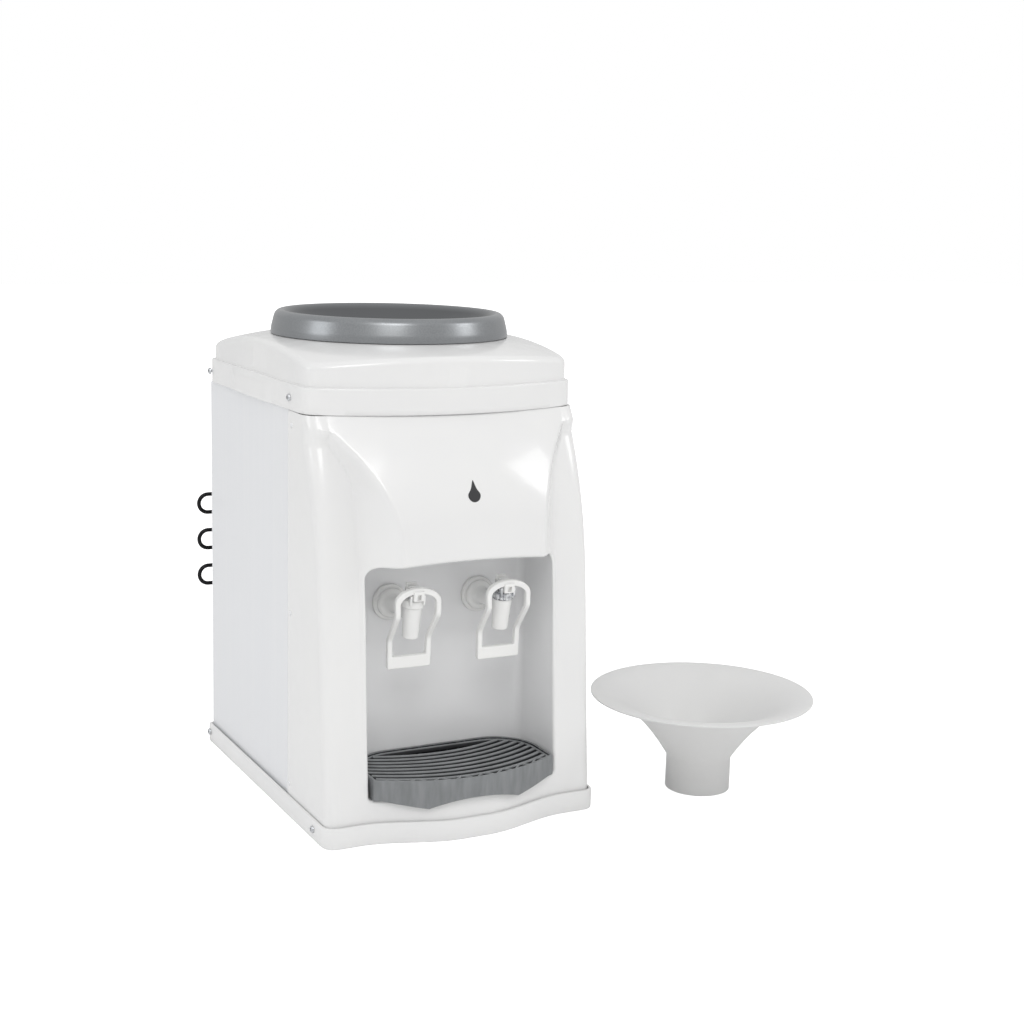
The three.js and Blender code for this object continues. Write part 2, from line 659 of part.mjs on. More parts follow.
// ---- Drip tray and grille ----
const trayHalf = 104.6;
const trayCornerY = -216.5;
const trayBow = 30.5; // the front wall bows this far past its corners
const trayRearY = recessBackY - 3;
const trayTop = 68;
const trayFloor = recessFloor + 0.5;
const trayTip = 37;
const trayWall = 2.4;
const trayFrontPoints = 11;

function trayOutline(inset) {
  const half = trayHalf - inset;
  const front = Array.from({ length: trayFrontPoints }, (_, i) => {
    const x = mix(-half, half, i / (trayFrontPoints - 1));
    return [x, trayCornerY + inset - trayBow * (1 - (x / half) ** 2)];
  });
  const radius = 48 - inset;
  const rear = trayRearY - inset;
  const arc = Array.from({ length: 6 }, (_, i) => {
    const angle = Math.PI / 2 * i / 5;
    return [half - radius + radius * Math.cos(angle), rear - radius + radius * Math.sin(angle)];
  });
  return [...front, ...arc, ...arc.map(([x, y]) => [-x, y]).reverse()];
}

/** Lower edge of the tray's front wall: two hanging points with an arch between them. */
const tipX = 52;
const arch = Array.from({ length: 9 }, (_, i) => {
  const x = mix(-tipX, tipX, i / 8);
  return [x, trayTip + (trayFloor - trayTip) * (1 - (x / tipX) ** 2)];
});
const tipRoot = trayHalf - 8;
const underFront = [[-120, trayFloor], [-tipRoot, trayFloor], ...arch, [tipRoot, trayFloor],
  [120, trayFloor], [120, 20], [-120, 20]];
const behindFront = [...trayOutline(trayWall).slice(0, trayFrontPoints), [140, -100], [-140, -100]];
const tray = prismZ(trayOutline(0), trayTip - 5, trayTop)
  .subtract(prismZ(trayOutline(trayWall), trayFloor + 2, trayTop + 5))
  .subtract(prismZ(behindFront, 20, trayFloor))
  .subtract(prismY(underFront, -300, -100));
addPiece('drip_tray', tray, trayGrey);

const grilleTop = trayTop - 2;
const ribDepth = 5;
const grilleInset = trayWall + 0.6;
const grilleField = prismZ(trayOutline(grilleInset), grilleTop - ribDepth, grilleTop);
const grilleFrame = grilleField.subtract(prismZ(trayOutline(grilleInset + 2.2), 0, 100));

/** Strip of constant width along a curve in plan. */
function strip(points, width) {
  const side = (offset) => points.map(([x, y]) => [x, y + offset]);
  return prismZ([...side(-width / 2), ...side(width / 2).reverse()], grilleTop - ribDepth, grilleTop);
}

const ribCount = 8;
const ribPitch = 11;
const ribWidth = 4.4;
const zigzagDepth = 13;
const frontRibY = trayCornerY + zigzagDepth + 1;
const bowAt = (x) => trayBow * (1 - (x / trayHalf) ** 2);
let grille = grilleFrame;
for (let i = 0; i < ribCount; i += 1) {
  const rib = Array.from({ length: 9 }, (_, k) => {
    const x = mix(-trayHalf, trayHalf, k / 8);
    return [x, frontRibY + i * ribPitch - bowAt(x)];
  });
  grille = grille.add(strip(rib, ribWidth).intersect(grilleField));
}
const zigzag = Array.from({ length: 17 }, (_, k) => {
  const x = mix(-trayHalf + 8, trayHalf - 8, k / 16);
  return [x, (k % 2 ? frontRibY : trayCornerY + 4) - bowAt(x)];
});
grille = grille.add(strip(zigzag, 3.4).intersect(grilleField));
[-50, 50].forEach((x) => {
  const tie = box(x - 1.5, x + 1.5, -300, -100, grilleTop - ribDepth - 2, grilleTop - ribDepth + 0.5);
  grille = grille.add(tie.intersect(prismZ(trayOutline(grilleInset), 40, grilleTop)));
});
addPiece('drip_grille', grille, trayGrey);

// ---- Bottle funnel, standing on its skirt beside the dispenser ----
const funnelWall = 2.2;
const throatZ = 40;
const flare = (radius) => funnelHeight - (funnelHeight - throatZ)
  * ((funnelRadius - radius) / (funnelRadius - skirtRadius)) ** 2;
const flareRadii = Array.from({ length: 7 }, (_, i) => mix(skirtRadius, funnelRadius, i / 6));
const throatFloor = 26;
const spikeRadius = 11;
const outerSide = [[skirtRadius, 0], ...flareRadii.map((r) => [r, flare(r) - funnelWall])];
const innerSide = flareRadii.slice(0, -1).map((r) => [r - 1.2, flare(r) + 0.9]).reverse();
const funnel = turnedRing([...outerSide, [funnelRadius + 0.8, funnelHeight - 1.1],
  [funnelRadius, funnelHeight], ...innerSide, [skirtRadius - funnelWall, throatZ - 6],
  [skirtRadius - funnelWall, throatFloor + 2.4],
  [spikeRadius + gap, throatFloor + 2.4], [spikeRadius + gap, throatFloor],
  [skirtRadius - funnelWall, throatFloor], [skirtRadius - funnelWall, 0]], 28);
const beside = (shape) => shape.translate([funnelX, funnelY, counterZ]);
addPiece('bottle_funnel', beside(funnel), milkyWhite);

const spikeTop = throatFloor + 34;
const spike = rod(spikeRadius, 6, spikeTop, 20)
  .subtract(rod(spikeRadius - 1.8, 0, spikeTop + 5, 20))
  .subtract(prismX([[-20, spikeTop - 30], [20, spikeTop + 6], [20, 120], [-20, 120]], -40, 40)
    .rotate([0, 0, 35]));
addPiece('funnel_spike', beside(spike), spikeGrey);

// ---- Cooling unit ----
const compressorY = 70;
const canRadius = 58;
const compressor = turned([[0, 10], [canRadius - 14, 12], [canRadius - 2, 26], [canRadius, 40],
  [canRadius, 74], [canRadius + 4, 74], [canRadius + 4, 79], [canRadius, 79], [canRadius, 112],
  [canRadius - 6, 132],
  [canRadius - 24, 146], [0, 152]], 20)
  .add(box(-72, 72, -50, 50, 8, 11))
  .add(box(-70, -58, -48, 48, baseWall + gap, 9))
  .add(box(58, 70, -48, 48, baseWall + gap, 9))
  .add(box(-68, -48, -22, 22, 40, 92));
addPiece('compressor', compressor.translate([0, compressorY, 0]), blackEnamel);

const returnPoint = onRadius(returnRadius, coilEnd, tailZ - gap);
const suctionPath = bentPath([returnPoint.toArray(), [returnPoint.x, returnPoint.y, 230],
  [12, 86, 200], [12, 86, 151.2]], 12);
addPiece('suction_pipe', tube(suctionPath, coilTube, 6), copper);

const pipeEnd = rearSheetY - 12;
const dischargePath = bentPath([[40, 96, 143], [40, 96, 190], [pipeX, 132, 190],
  [pipeX, 132, condenserTop], [pipeX, pipeEnd - gap, condenserTop]], 12);
addPiece('discharge_pipe', tube(dischargePath, tubeRadius, 6), copper);

const drierY = 132;
const supply = onRadius(coilRadius, coilStart - 0.16, tailZ - gap);
const capillary = bentPath([[pipeX, drierY, 70], [pipeX, drierY, 40], [pipeX, 40, 40],
  [pipeX, supply.y, 60], [pipeX, supply.y, 240], [supply.x, supply.y, 250], supply.toArray()], 10);
const feed = bentPath([[pipeX, pipeEnd - gap, condenserLow], [pipeX, drierY, condenserLow],
  [pipeX, drierY, 140]], 10);
const drier = turned([[0, 60], [3, 60], [9.5, 68], [9.5, 142], [3, 150], [0, 150]], 12)
  .translate([pipeX, drierY, 0])
  .add(tube(capillary, 1.4, 6))
  .add(tube(feed, tubeRadius, 6));
addPiece('filter_drier', drier, copper);

// ---- Condenser: one tube folded into six runs, stiffened by welded wires ----
const bendRadius = runPitch / 2;
const runHalf = 147;
const elbow = (z) => [[pipeX, pipeEnd, z], [pipeX, condenserY - 8, z],
  [pipeX - 2.5, condenserY - 2.5, z], [pipeX - 8, condenserY, z]].map((p) => new THREE.Vector3(...p));
const serpentine = elbow(condenserTop);
for (let run = 0; run + 1 < runCount; run += 1) {
  const side = run % 2 ? 1 : -1;
  const z = condenserTop - run * runPitch;
  for (let k = 0; k <= 5; k += 1) {
    const angle = Math.PI * k / 5;
    const x = side * (runHalf + bendRadius * Math.sin(angle));
    serpentine.push(new THREE.Vector3(x, condenserY, z - bendRadius * (1 - Math.cos(angle))));
  }
}
serpentine.push(...elbow(condenserLow).reverse());
let condenser = tube(serpentine, tubeRadius, 6);
const wireCount = 6;
const wireHalf = 0.75;
const wireY = condenserY + tubeRadius + 0.4;
for (let i = 0; i < wireCount; i += 1) {
  const x = mix(-runHalf + 12, runHalf - 34, i / (wireCount - 1));
  const wire = box(x - wireHalf, x + wireHalf, wireY - wireHalf, wireY + wireHalf,
    condenserLow - 7, condenserTop + 7);
  condenser = condenser.add(wire);
}
[-96, 84].forEach((x) => {
  const strap = box(x - 6, x + 6, rearSheetY + gap, condenserY + 1, condenserLow - 14, condenserTop + 14)
    .subtract(box(x - 7, x + 7, rearSheetY + 2, condenserY + 5, condenserLow + 7, condenserTop - 7))
    .subtract(box(x - 7, x + 7, rearSheetY + 2, condenserY - 1, condenserLow - 12, condenserTop + 12));
  condenser = condenser.add(strap);
});
addPiece('condenser', condenser, blackEnamel);

// ---- Controls and cord entry on the rear panel ----
const [knobX, knobZ] = knobPlace;
const thermostat = box(knobX - 22, knobX + 22, 138, rearSheetY - 2, knobZ - 15, knobZ + 15)
  .add(rodY(3, rearSheetY - 4, rearSheetY + 8, knobX, knobZ, 10));
addPiece('thermostat', thermostat, blackPlastic);

const knobBack = rearSheetY + 1.5;
const knob = turned([[0, 0], [15, 0], [15, 3], [12, 5], [11, 14], [9.5, 15], [0, 15]], 20)
  .subtract(rod(3 + gap, -1, 8, 10))
  .add(box(-1.2, 1.2, 2, 11, 14, 15.8));
addPiece('thermostat_knob', knob.rotate([-90, 0, 0]).translate([knobX, knobBack, knobZ]), blackPlastic);

const gland = turnedRing([[4.2, -5], [10, -5], [10, -sheetWall - gap], [7.6, -sheetWall - gap],
  [7.6, gap], [11, gap], [9.5, 3.5], [6.4, 12], [4.2, 12]], 16);
const [glandX, glandZ] = glandPlace;
addPiece('cord_gland', gland.rotate([-90, 0, 0]).translate([glandX, rearSheetY, glandZ]), blackPlastic);

// ---- Screws and rivets ----
sides.forEach(([name, side]) => {
  const set = (shape, x, y, z) => (
    (side > 0 ? shape : shape.mirror([1, 0, 0])).translate([side * x, y, z])
  );
  coverScrews.forEach(([place, y, z]) => {
    addPiece(`${name}_${place}_cover_screw`, set(screwAlongX(), coverHalf + 0.2, y, z), zinc);
  });
  baseScrews.forEach(([place, y, z]) => {
    addPiece(`${name}_${place}_base_screw`, set(screwAlongX(), panelHalf + baseProud + 0.2, y, z), zinc);
  });
  rivets.forEach(([place, y, z]) => {
    addPiece(`${name}_${place}_rivet`, set(rivetAlongX(), panelHalf + 0.15, y, z), paintedSteel);
  });
});

export default dispenser;
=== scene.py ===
import math

import bmesh
import bpy
from mathutils import Matrix, Vector


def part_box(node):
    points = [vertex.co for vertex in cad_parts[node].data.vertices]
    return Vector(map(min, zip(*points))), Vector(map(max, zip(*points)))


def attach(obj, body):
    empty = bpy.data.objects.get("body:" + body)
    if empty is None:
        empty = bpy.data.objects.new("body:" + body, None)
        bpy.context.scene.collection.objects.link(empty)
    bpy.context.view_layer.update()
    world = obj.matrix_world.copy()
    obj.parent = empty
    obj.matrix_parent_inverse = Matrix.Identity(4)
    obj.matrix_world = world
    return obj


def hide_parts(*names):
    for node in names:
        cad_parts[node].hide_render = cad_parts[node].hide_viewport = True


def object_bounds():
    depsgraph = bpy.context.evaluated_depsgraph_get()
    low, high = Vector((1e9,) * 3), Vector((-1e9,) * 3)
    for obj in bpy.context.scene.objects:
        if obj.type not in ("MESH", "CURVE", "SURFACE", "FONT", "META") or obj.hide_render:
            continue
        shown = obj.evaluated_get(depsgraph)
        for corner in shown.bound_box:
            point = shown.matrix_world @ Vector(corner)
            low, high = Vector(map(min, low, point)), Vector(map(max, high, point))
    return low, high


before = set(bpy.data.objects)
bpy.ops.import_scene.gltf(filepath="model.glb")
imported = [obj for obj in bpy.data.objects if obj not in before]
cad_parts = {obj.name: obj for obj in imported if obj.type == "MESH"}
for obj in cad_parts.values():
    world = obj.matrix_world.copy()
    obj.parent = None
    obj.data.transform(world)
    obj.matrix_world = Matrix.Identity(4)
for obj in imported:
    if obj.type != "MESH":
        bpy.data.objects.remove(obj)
cad_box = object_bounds()


# The studio. One camera stands a little above the cabinet's shoulder, to its front left.
# The pale floor lies under the rubber feet, with a large soft light high on the front left,
# weak ones on both sides and a white surround that is brighter above.
scene = bpy.context.scene
scene.view_settings.view_transform = "Standard"
floor_height = cad_box[0].z

camera_turn = 0.4822
camera_dip = 0.188
camera_roll = 0.0264
camera_place = (-0.7577, -1.7535, 0.6685)
ahead = Vector((
    math.sin(camera_turn) * math.cos(camera_dip),
    math.cos(camera_turn) * math.cos(camera_dip),
    -math.sin(camera_dip),
))
level_right = Vector((math.cos(camera_turn), -math.sin(camera_turn), 0))
level_up = level_right.cross(ahead)
camera_right = level_right * math.cos(camera_roll) + level_up * math.sin(camera_roll)
camera_up = level_up * math.cos(camera_roll) - level_right * math.sin(camera_roll)
camera_data = bpy.data.cameras.new("studio_camera")
camera_data.lens = 60
camera_data.sensor_width = 36


def add_object(name, data):
    thing = bpy.data.objects.new(name, data)
    scene.collection.objects.link(thing)
    return thing


camera = add_object("studio_camera", camera_data)
camera.matrix_world = (
    Matrix.Translation(camera_place)
    @ Matrix((camera_right, camera_up, -ahead)).transposed().to_4x4()
)
scene.camera = camera
cabinet_middle = Vector((0.05, -0.1, 0.25))


def soft_light(name, place, size, watts, tint):
    """Square soft light aimed at the middle of the cabinet."""
    data = bpy.data.lights.new(name, "AREA")
    data.size = size
    data.energy = watts
    data.color = tint
    light = add_object(name, data)
    light.location = place
    aim = cabinet_middle - light.location
    light.rotation_euler = aim.to_track_quat("-Z", "Y").to_euler()


soft_light("key_light", (-0.9, -2.4, 2.5), 1.3, 23, (1, 0.995, 0.985))
soft_light("side_light", (-2.6, 0.2, 1.3), 1.0, 6, (0.97, 0.985, 1))
soft_light("right_light", (2.0, -1.3, 1.5), 0.8, 7, (1, 1, 1))


def feed(source, target):
    source.id_data.links.new(source, target)


def fed_node(kind, source, socket):
    """New node in the source's own tree, with one socket fed by the source."""
    node = source.id_data.nodes.new(kind)
    feed(source, node.inputs[socket])
    return node


def height_of(place):
    """The height part of some coordinates."""
    return fed_node("ShaderNodeSeparateXYZ", place, 0).outputs["Z"]


def ranged(source, low, high, start=0.0, end=1.0):
    """A value brought from between low and high to between start and end."""
    node = fed_node("ShaderNodeMapRange", source, "Value")
    node.inputs["From Min"].default_value = low
    node.inputs["From Max"].default_value = high
    node.inputs["To Min"].default_value = start
    node.inputs["To Max"].default_value = end
    return node.outputs["Result"]


world = bpy.data.worlds.new("white_surround")
world.use_nodes = True
scene.world = world
sky = world.node_tree
sky.nodes.clear()
sky_out = sky.nodes.new("ShaderNodeOutputWorld")
sky_mix = sky.nodes.new("ShaderNodeMixShader")
sky_path = sky.nodes.new("ShaderNodeLightPath")
sky_seen = sky.nodes.new("ShaderNodeBackground")
sky_seen.inputs["Strength"].default_value = 1.0
sky_seen.inputs["Color"].default_value = (1, 1, 1, 1)
sky_lit = sky.nodes.new("ShaderNodeBackground")
sky_height = height_of(sky.nodes.new("ShaderNodeTexCoord").outputs["Generated"])
feed(ranged(sky_height, -0.1, 1, 0.77, 1.08), sky_lit.inputs["Strength"])
feed(sky_path.outputs["Is Camera Ray"], sky_mix.inputs[0])
feed(sky_lit.outputs[0], sky_mix.inputs[1])
feed(sky_seen.outputs[0], sky_mix.inputs[2])
feed(sky_mix.outputs[0], sky_out.inputs["Surface"])

floor_half = 9
floor_mesh = bpy.data.meshes.new("studio_floor")
floor_mesh.from_pydata(
    [(floor_half * x, floor_half * y, floor_height) for x, y in ((-1, -1), (1, -1), (1, 1), (-1, 1))],
    [], [(0, 1, 2, 3)])
floor = add_object("studio_floor", floor_mesh)
floor_paint = bpy.data.materials.new("pale_floor")
floor_paint.use_nodes = True
floor_tree = floor_paint.node_tree
floor_shader = floor_tree.nodes["Principled BSDF"]
floor_shader.inputs["Base Color"].default_value = (0.95, 0.95, 0.95, 1)
floor_shader.inputs["Roughness"].default_value = 0.9
floor_shader.inputs["Specular IOR Level"].default_value = 0.1
floor_shader.inputs["Emission Color"].default_value = (1, 1, 1, 1)
floor_path = floor_tree.nodes.new("ShaderNodeLightPath")
floor_glow = ranged(floor_path.outputs["Is Camera Ray"], 0, 1, 0, 0.6)
feed(floor_glow, floor_shader.inputs["Emission Strength"])
floor_mesh.materials.append(floor_paint)


# Front panel. One injection moulding in white gloss ABS: flat outer columns, a bib that bulges
# over the recess between two scooped transitions, and a bullnose lip round the recess.
# It hooks behind the side sheets and is riveted to them.
panel_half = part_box("front_panel")[1].x * 1000
panel_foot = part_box("front_panel")[0].z * 1000
panel_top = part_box("front_panel")[1].z * 1000
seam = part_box("front_panel")[1].y * 1000
band_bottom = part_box("top_cover")[0].z * 1000
cover_half = 155
shell_wall = 2.4
recess_half = 108
recess_floor = 45
recess_top = 289
recess_arch = 4
lip_radius = 3.6
side_counts = (116, 92, 116, 92)
ring_length = sum(side_counts)


def smooth(low, high, value):
    """Eased step from 0 at low to 1 at high."""
    share = min(1, max(0, (value - low) / (high - low)))
    return share * share * (3 - 2 * share)


def mix(start, end, share):
    return start + (end - start) * share


def column_y(z):
    """The flat outer columns, which lean back near the top."""
    tuck = max(0, (z - 200) / (band_bottom - 200))
    return -216.5 + 0.08 * z + 37 * tuck ** 3


def crown_y(z):
    """The bib's crown at the middle, which curls back under the cover."""
    tuck = max(0, (z - 330) / (band_bottom - 330))
    return -240.3 + 0.036 * z + 46.6 * tuck ** 1.8


def front_y(x, z):
    """The front face: a wide scoop low down, and above it a bib whose sides are cut back."""
    high = smooth(60, 250, z)
    rise = max(0, (z - recess_top) / (band_bottom - recess_top))
    bib_edge = mix(15, 79, high) + 71 * rise ** 2.5
    column_edge = mix(118, 114, high) + 44 * max(0, 2 * rise - 1) ** 1.5
    across = min(1, max(0, (abs(x) - bib_edge) / (column_edge - bib_edge)))
    cut = mix(smooth(0, 1, across), across, 0.5 * high)
    arch = 1 - mix(0.15, 1, smooth(0, 1, rise)) * high * (x / cover_half) ** 2
    return mix(column_y(z), crown_y(z), arch * (1 - cut))


def corner_radius(z):
    return mix(13, 20, smooth(recess_top, band_bottom, z))


def arc(u, v, radius, first, last, steps):
    """Points on a round corner, from the first angle to the last, in degrees."""
    angles = [math.radians(mix(first, last, k / steps)) for k in range(steps + 1)]
    return [(u + radius * math.cos(angle), v + radius * math.sin(angle)) for angle in angles]


def recess_ring(grow):
    """Outline of the recess opening in (x, z), grown outwards, from the bottom left corner."""
    half = recess_half + grow
    low = recess_floor - grow
    high = recess_top + grow
    top_radius = 16 + grow
    low_radius = max(0.5, 4 + grow)
    corners = [(-half + low_radius, low + low_radius, low_radius),
               (half - low_radius, low + low_radius, low_radius),
               (half - top_radius, high - top_radius, top_radius),
               (-half + top_radius, high - top_radius, top_radius)]
    ring = []
    turn = 7
    for side, count in enumerate(side_counts):
        middle = 225 + 90 * side
        leaving = arc(*corners[side], middle, middle + 45, turn)
        arriving = arc(*corners[(side + 1) % 4], middle + 45, middle + 90, turn)
        straight = count - 2 * turn
        (x0, z0), (x1, z1) = leaving[-1], arriving[0]
        ring.extend(leaving)
        ring.extend((mix(x0, x1, k / straight), mix(z0, z1, k / straight)) for k in range(1, straight))
        ring.extend(arriving[:-1])
    flat = half - top_radius
    for k, (x, z) in enumerate(ring):
        if z > high - 0.01 and abs(x) < flat:
            ring[k] = (x, z + recess_arch * (1 - (x / flat) ** 2))
    return ring


def panel_ring(low, high):
    """Edge of the front face in (x, z) with as many points on each side as the recess outline."""
    corners = [(-1, low), (1, low), (1, high), (-1, high)]
    ring = []
    for side, count in enumerate(side_counts):
        start = corners[side]
        end = corners[(side + 1) % 4]
        for k in range(count):
            z = mix(start[1], end[1], k / count)
            ring.append((mix(start[0], end[0], k / count) * (panel_half - corner_radius(z)), z))
    return ring


def front_outline(z, inset, steps):
    """Plan outline of the front at one height, from the left side round to the right side."""
    half = panel_half - inset
    corner = corner_radius(z) - inset
    start = -half + corner
    first_y = front_y(start, z) + inset
    turn_in = []
    for k in range(9):
        share = k / 8
        turn_in.append((-half + corner * share ** 2, first_y + corner * (1 - share) ** 2))
    across = []
    for k in range(1, steps):
        x = mix(start, -start, k / steps)
        across.append((x, front_y(x, z) + inset))
    return turn_in + across + [(-x, y) for x, y in reversed(turn_in)]


def ring_faces(rings, count, closed=True, first=0, looped=False, capped=False):
    """Quads between rings of equal length; looped joins the last to the first, capped shuts both ends."""
    faces = []
    for k in range(rings if looped else rings - 1):
        here = first + k * count
        there = first + (k + 1) % rings * count
        for i in range(count if closed else count - 1):
            j = (i + 1) % count
            faces.append((here + i, here + j, there + j, there + i))
    if capped:
        faces.append(tuple(range(first, first + count)))
        faces.append(tuple(range(first + (rings - 1) * count, first + rings * count)))
    return faces


def shade(mesh, crease):
    """Smooth shading, except at edges sharper than the crease angle."""
    for face in mesh.polygons:
        face.use_smooth = True
    mesh.set_sharp_from_angle(angle=math.radians(crease))
    return mesh


def make_mesh(points, faces, crease=38):
    """Mesh from points in millimetres, with equal points merged."""
    mesh = bpy.data.meshes.new("piece")
    mesh.from_pydata([(x / 1000, y / 1000, z / 1000) for x, y, z in points], [], faces)
    shape = bmesh.new()
    shape.from_mesh(mesh)
    bmesh.ops.remove_doubles(shape, verts=shape.verts, dist=2e-6)
    bmesh.ops.recalc_face_normals(shape, faces=shape.faces)
    shape.to_mesh(mesh)
    shape.free()
    return shade(mesh, crease)


def place_piece(name, mesh, material, slot, body, *stands_for):
    """Adds the piece in its finish, tied to its body, in place of its plain solids."""
    piece = add_object(name, mesh)
    mesh.name = name
    mesh.materials.clear()
    mesh.materials.append(material)
    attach(piece, body)
    if stands_for:
        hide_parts(*stands_for)
    return piece


def start_material(name, roughness, metallic=0.0):
    """New node material with its shader, and its object coordinates as a texture source."""
    material = bpy.data.materials.new(name)
    material.use_nodes = True
    nodes = material.node_tree.nodes
    shader = nodes["Principled BSDF"]
    shader.inputs["Roughness"].default_value = roughness
    shader.inputs["Metallic"].default_value = metallic
    return material, shader, nodes.new("ShaderNodeTexCoord").outputs["Object"]


def stretched(source, scale):
    """The coordinates scaled along each axis."""
    node = fed_node("ShaderNodeMapping", source, "Vector")
    node.inputs["Scale"].default_value = scale
    return node.outputs["Vector"]


def noise(source, scale, detail=3.0):
    node = fed_node("ShaderNodeTexNoise", source, "Vector")
    node.inputs["Scale"].default_value = scale
    node.inputs["Detail"].default_value = detail
    return node.outputs["Fac"]


def ramp(source, *stops):
    """Two colours spread over a factor; each stop is a place and a colour."""
    node = fed_node("ShaderNodeValToRGB", source, "Fac")
    for point, (at, colour) in zip(node.color_ramp.elements, stops):
        point.position = at
        point.color = (*colour, 1)
    return node.outputs["Color"]


def paint(shader, source, *stops):
    feed(ramp(source, *stops), shader.inputs["Base Color"])


def roughen(shader, source, low, high):
    """Gloss that varies with a noise, whose usual values are 0.35 to 0.65."""
    feed(ranged(source, 0.35, 0.65, low, high), shader.inputs["Roughness"])


def relief(shader, height, strength, depth, before=None):
    """Small bumps from a height, on top of earlier ones where they are given."""
    node = fed_node("ShaderNodeBump", height, "Height")
    node.inputs["Strength"].default_value = strength
    node.inputs["Distance"].default_value = depth
    if before:
        feed(before, node.inputs["Normal"])
    feed(node.outputs["Normal"], shader.inputs["Normal"])
    return node.outputs["Normal"]


def moulded_plastic(name, light, dark, roughness, peel=0.05, ripple=0.25):
    """Moulded plastic: cloudy tone, uneven gloss, a fine orange peel and slow moulding ripple."""
    material, shader, place = start_material(name, roughness)
    paint(shader, noise(place, 9), (0.3, dark), (0.7, light))
    roughen(shader, noise(place, 40, 3), roughness - 0.05, roughness + 0.07)
    slow = relief(shader, noise(place, 14, 1), ripple, 0.0004)
    relief(shader, noise(place, 420, 1), peel, 0.0001, slow)
    return material


def set_shader(material, **values):
    """Sets constants on the material's shader; an underscore stands for a space."""
    shader = material.node_tree.nodes["Principled BSDF"]
    for name, value in values.items():
        shader.inputs[name.replace("_", " ")].default_value = value


white_gloss = moulded_plastic("white_gloss_moulding", (0.81, 0.81, 0.805), (0.79, 0.79, 0.79), 0.2)
set_shader(white_gloss, Coat_Weight=0.35, Coat_Roughness=0.08)

panel_points = []
lip_steps = 6
panel_points.extend((x, front_y(x, z) + lip_radius + 0.6, z) for x, z in recess_ring(2))
panel_points.extend((x, front_y(x, z) + lip_radius + 0.4, z) for x, z in recess_ring(0))
for step in range(lip_steps, -1, -1):
    swing = math.pi / 2 * step / lip_steps
    ring = recess_ring(lip_radius * (1 - math.sin(swing)))
    panel_points.extend((x, front_y(x, z) + lip_radius * (1 - math.cos(swing)), z) for x, z in ring)
face_steps = 56
inner_ring = recess_ring(lip_radius)
outer_ring = panel_ring(panel_foot, panel_top)
for step in range(1, face_steps + 1):
    share = (step / face_steps) ** 1.15
    for (x0, z0), (x1, z1) in zip(inner_ring, outer_ring):
        x = mix(x0, x1, share)
        z = mix(z0, z1, share)
        panel_points.append((x, front_y(x, z), z))
panel_faces = ring_faces(len(panel_points) // ring_length, ring_length)

right_edge = outer_ring[side_counts[0]:side_counts[0] + side_counts[1] + 1]
turn_steps = 8
for side in (-1, 1):
    first = len(panel_points)
    for flat_half, z in right_edge:
        y = front_y(flat_half, z)
        corner = corner_radius(z)
        for k in range(turn_steps + 1):
            share = k / turn_steps
            x = flat_half + corner * (1 - (1 - share) ** 2)
            panel_points.append((side * x, y + corner * share ** 2, z))
        side_wall = [(0, mix(y + corner, seam, 0.5)), (0, seam - 0.7), (0.7, seam), (shell_wall, seam),
                     (shell_wall, seam - 8)]
        panel_points.extend((side * (panel_half - inset), back, z) for inset, back in side_wall)
    strip = turn_steps + 1 + len(side_wall)
    panel_faces.extend(ring_faces(len(right_edge), strip, closed=False, first=first))

rim_line = front_outline(panel_top, 0, 60)
first = len(panel_points)
for scale, back in ((0.997, 0.3), (0.9, 12)):
    panel_points.extend((scale * x, y + back, panel_top - 0.3) for x, y in rim_line)
panel_faces.extend(ring_faces(2, len(rim_line), closed=False, first=first))
place_piece(
    "front_panel_moulding", make_mesh(panel_points, panel_faces),
    white_gloss, "white_gloss_plastic", "housing", "front_panel")


# Front mark. A plain dark water drop printed on the bib, 0.1 mm thick, in place of any mark.
drop_height = 360
drop_radius = 7
drop_rings = 5
drop_count = 40
drop_points = [(0, front_y(0, drop_height) - 0.12, drop_height)]
for ring in range(1, drop_rings + 1):
    for k in range(drop_count):
        angle = 2 * math.pi * k / drop_count
        reach = drop_radius * ring / drop_rings
        x = reach * math.cos(angle) * (1 - 0.45 * max(0, math.sin(angle)) ** 1.6)
        z = drop_height + reach * math.sin(angle) * (1 + 1.1 * max(0, math.sin(angle)) ** 6)
        drop_points.append((x, front_y(x, z) - 0.12, z))
drop_faces = [(0, 1 + k, 1 + (k + 1) % drop_count) for k in range(drop_count)]
drop_faces.extend(ring_faces(drop_rings, drop_count, first=1))
print_ink = moulded_plastic("dark_print_ink", (0.035, 0.036, 0.038), (0.028, 0.028, 0.03), 0.35)
place_piece(
    "front_drop_print", make_mesh(drop_points, drop_faces), print_ink, "black_plastic", "housing")


# Recess liner. A light grey moulding with a satin gloss, dropped in behind the front panel: the
# walls run back to a flat plate that holds both taps. Its draw lines show low on the back plate
# and faint sink marks show above, where the ribs behind it shrink.
liner_back = -128
liner_fillet = 9

liner_grey, liner_shader, liner_place = start_material("light_grey_liner", 0.22)
liner_clouds = noise(liner_place, 7)
paint(liner_shader, liner_clouds, (0.3, (0.82, 0.823, 0.828)), (0.7, (0.86, 0.863, 0.868)))
roughen(liner_shader, liner_clouds, 0.2, 0.27)
draw_lines = fed_node("ShaderNodeMath", noise(stretched(liner_place, (6, 6, 300)), 1, 1), 0)
draw_lines.operation = "MULTIPLY"
feed(ranged(height_of(liner_place), 0.15, 0.08), draw_lines.inputs[1])
drawn = relief(liner_shader, draw_lines.outputs[0], 0.12, 0.0004)
sink_marks = noise(stretched(liner_place, (34, 34, 7)), 1, 1)
relief(liner_shader, sink_marks, 0.25, 0.001, drawn)
set_shader(liner_grey, Coat_Weight=0.2, Coat_Roughness=0.12)

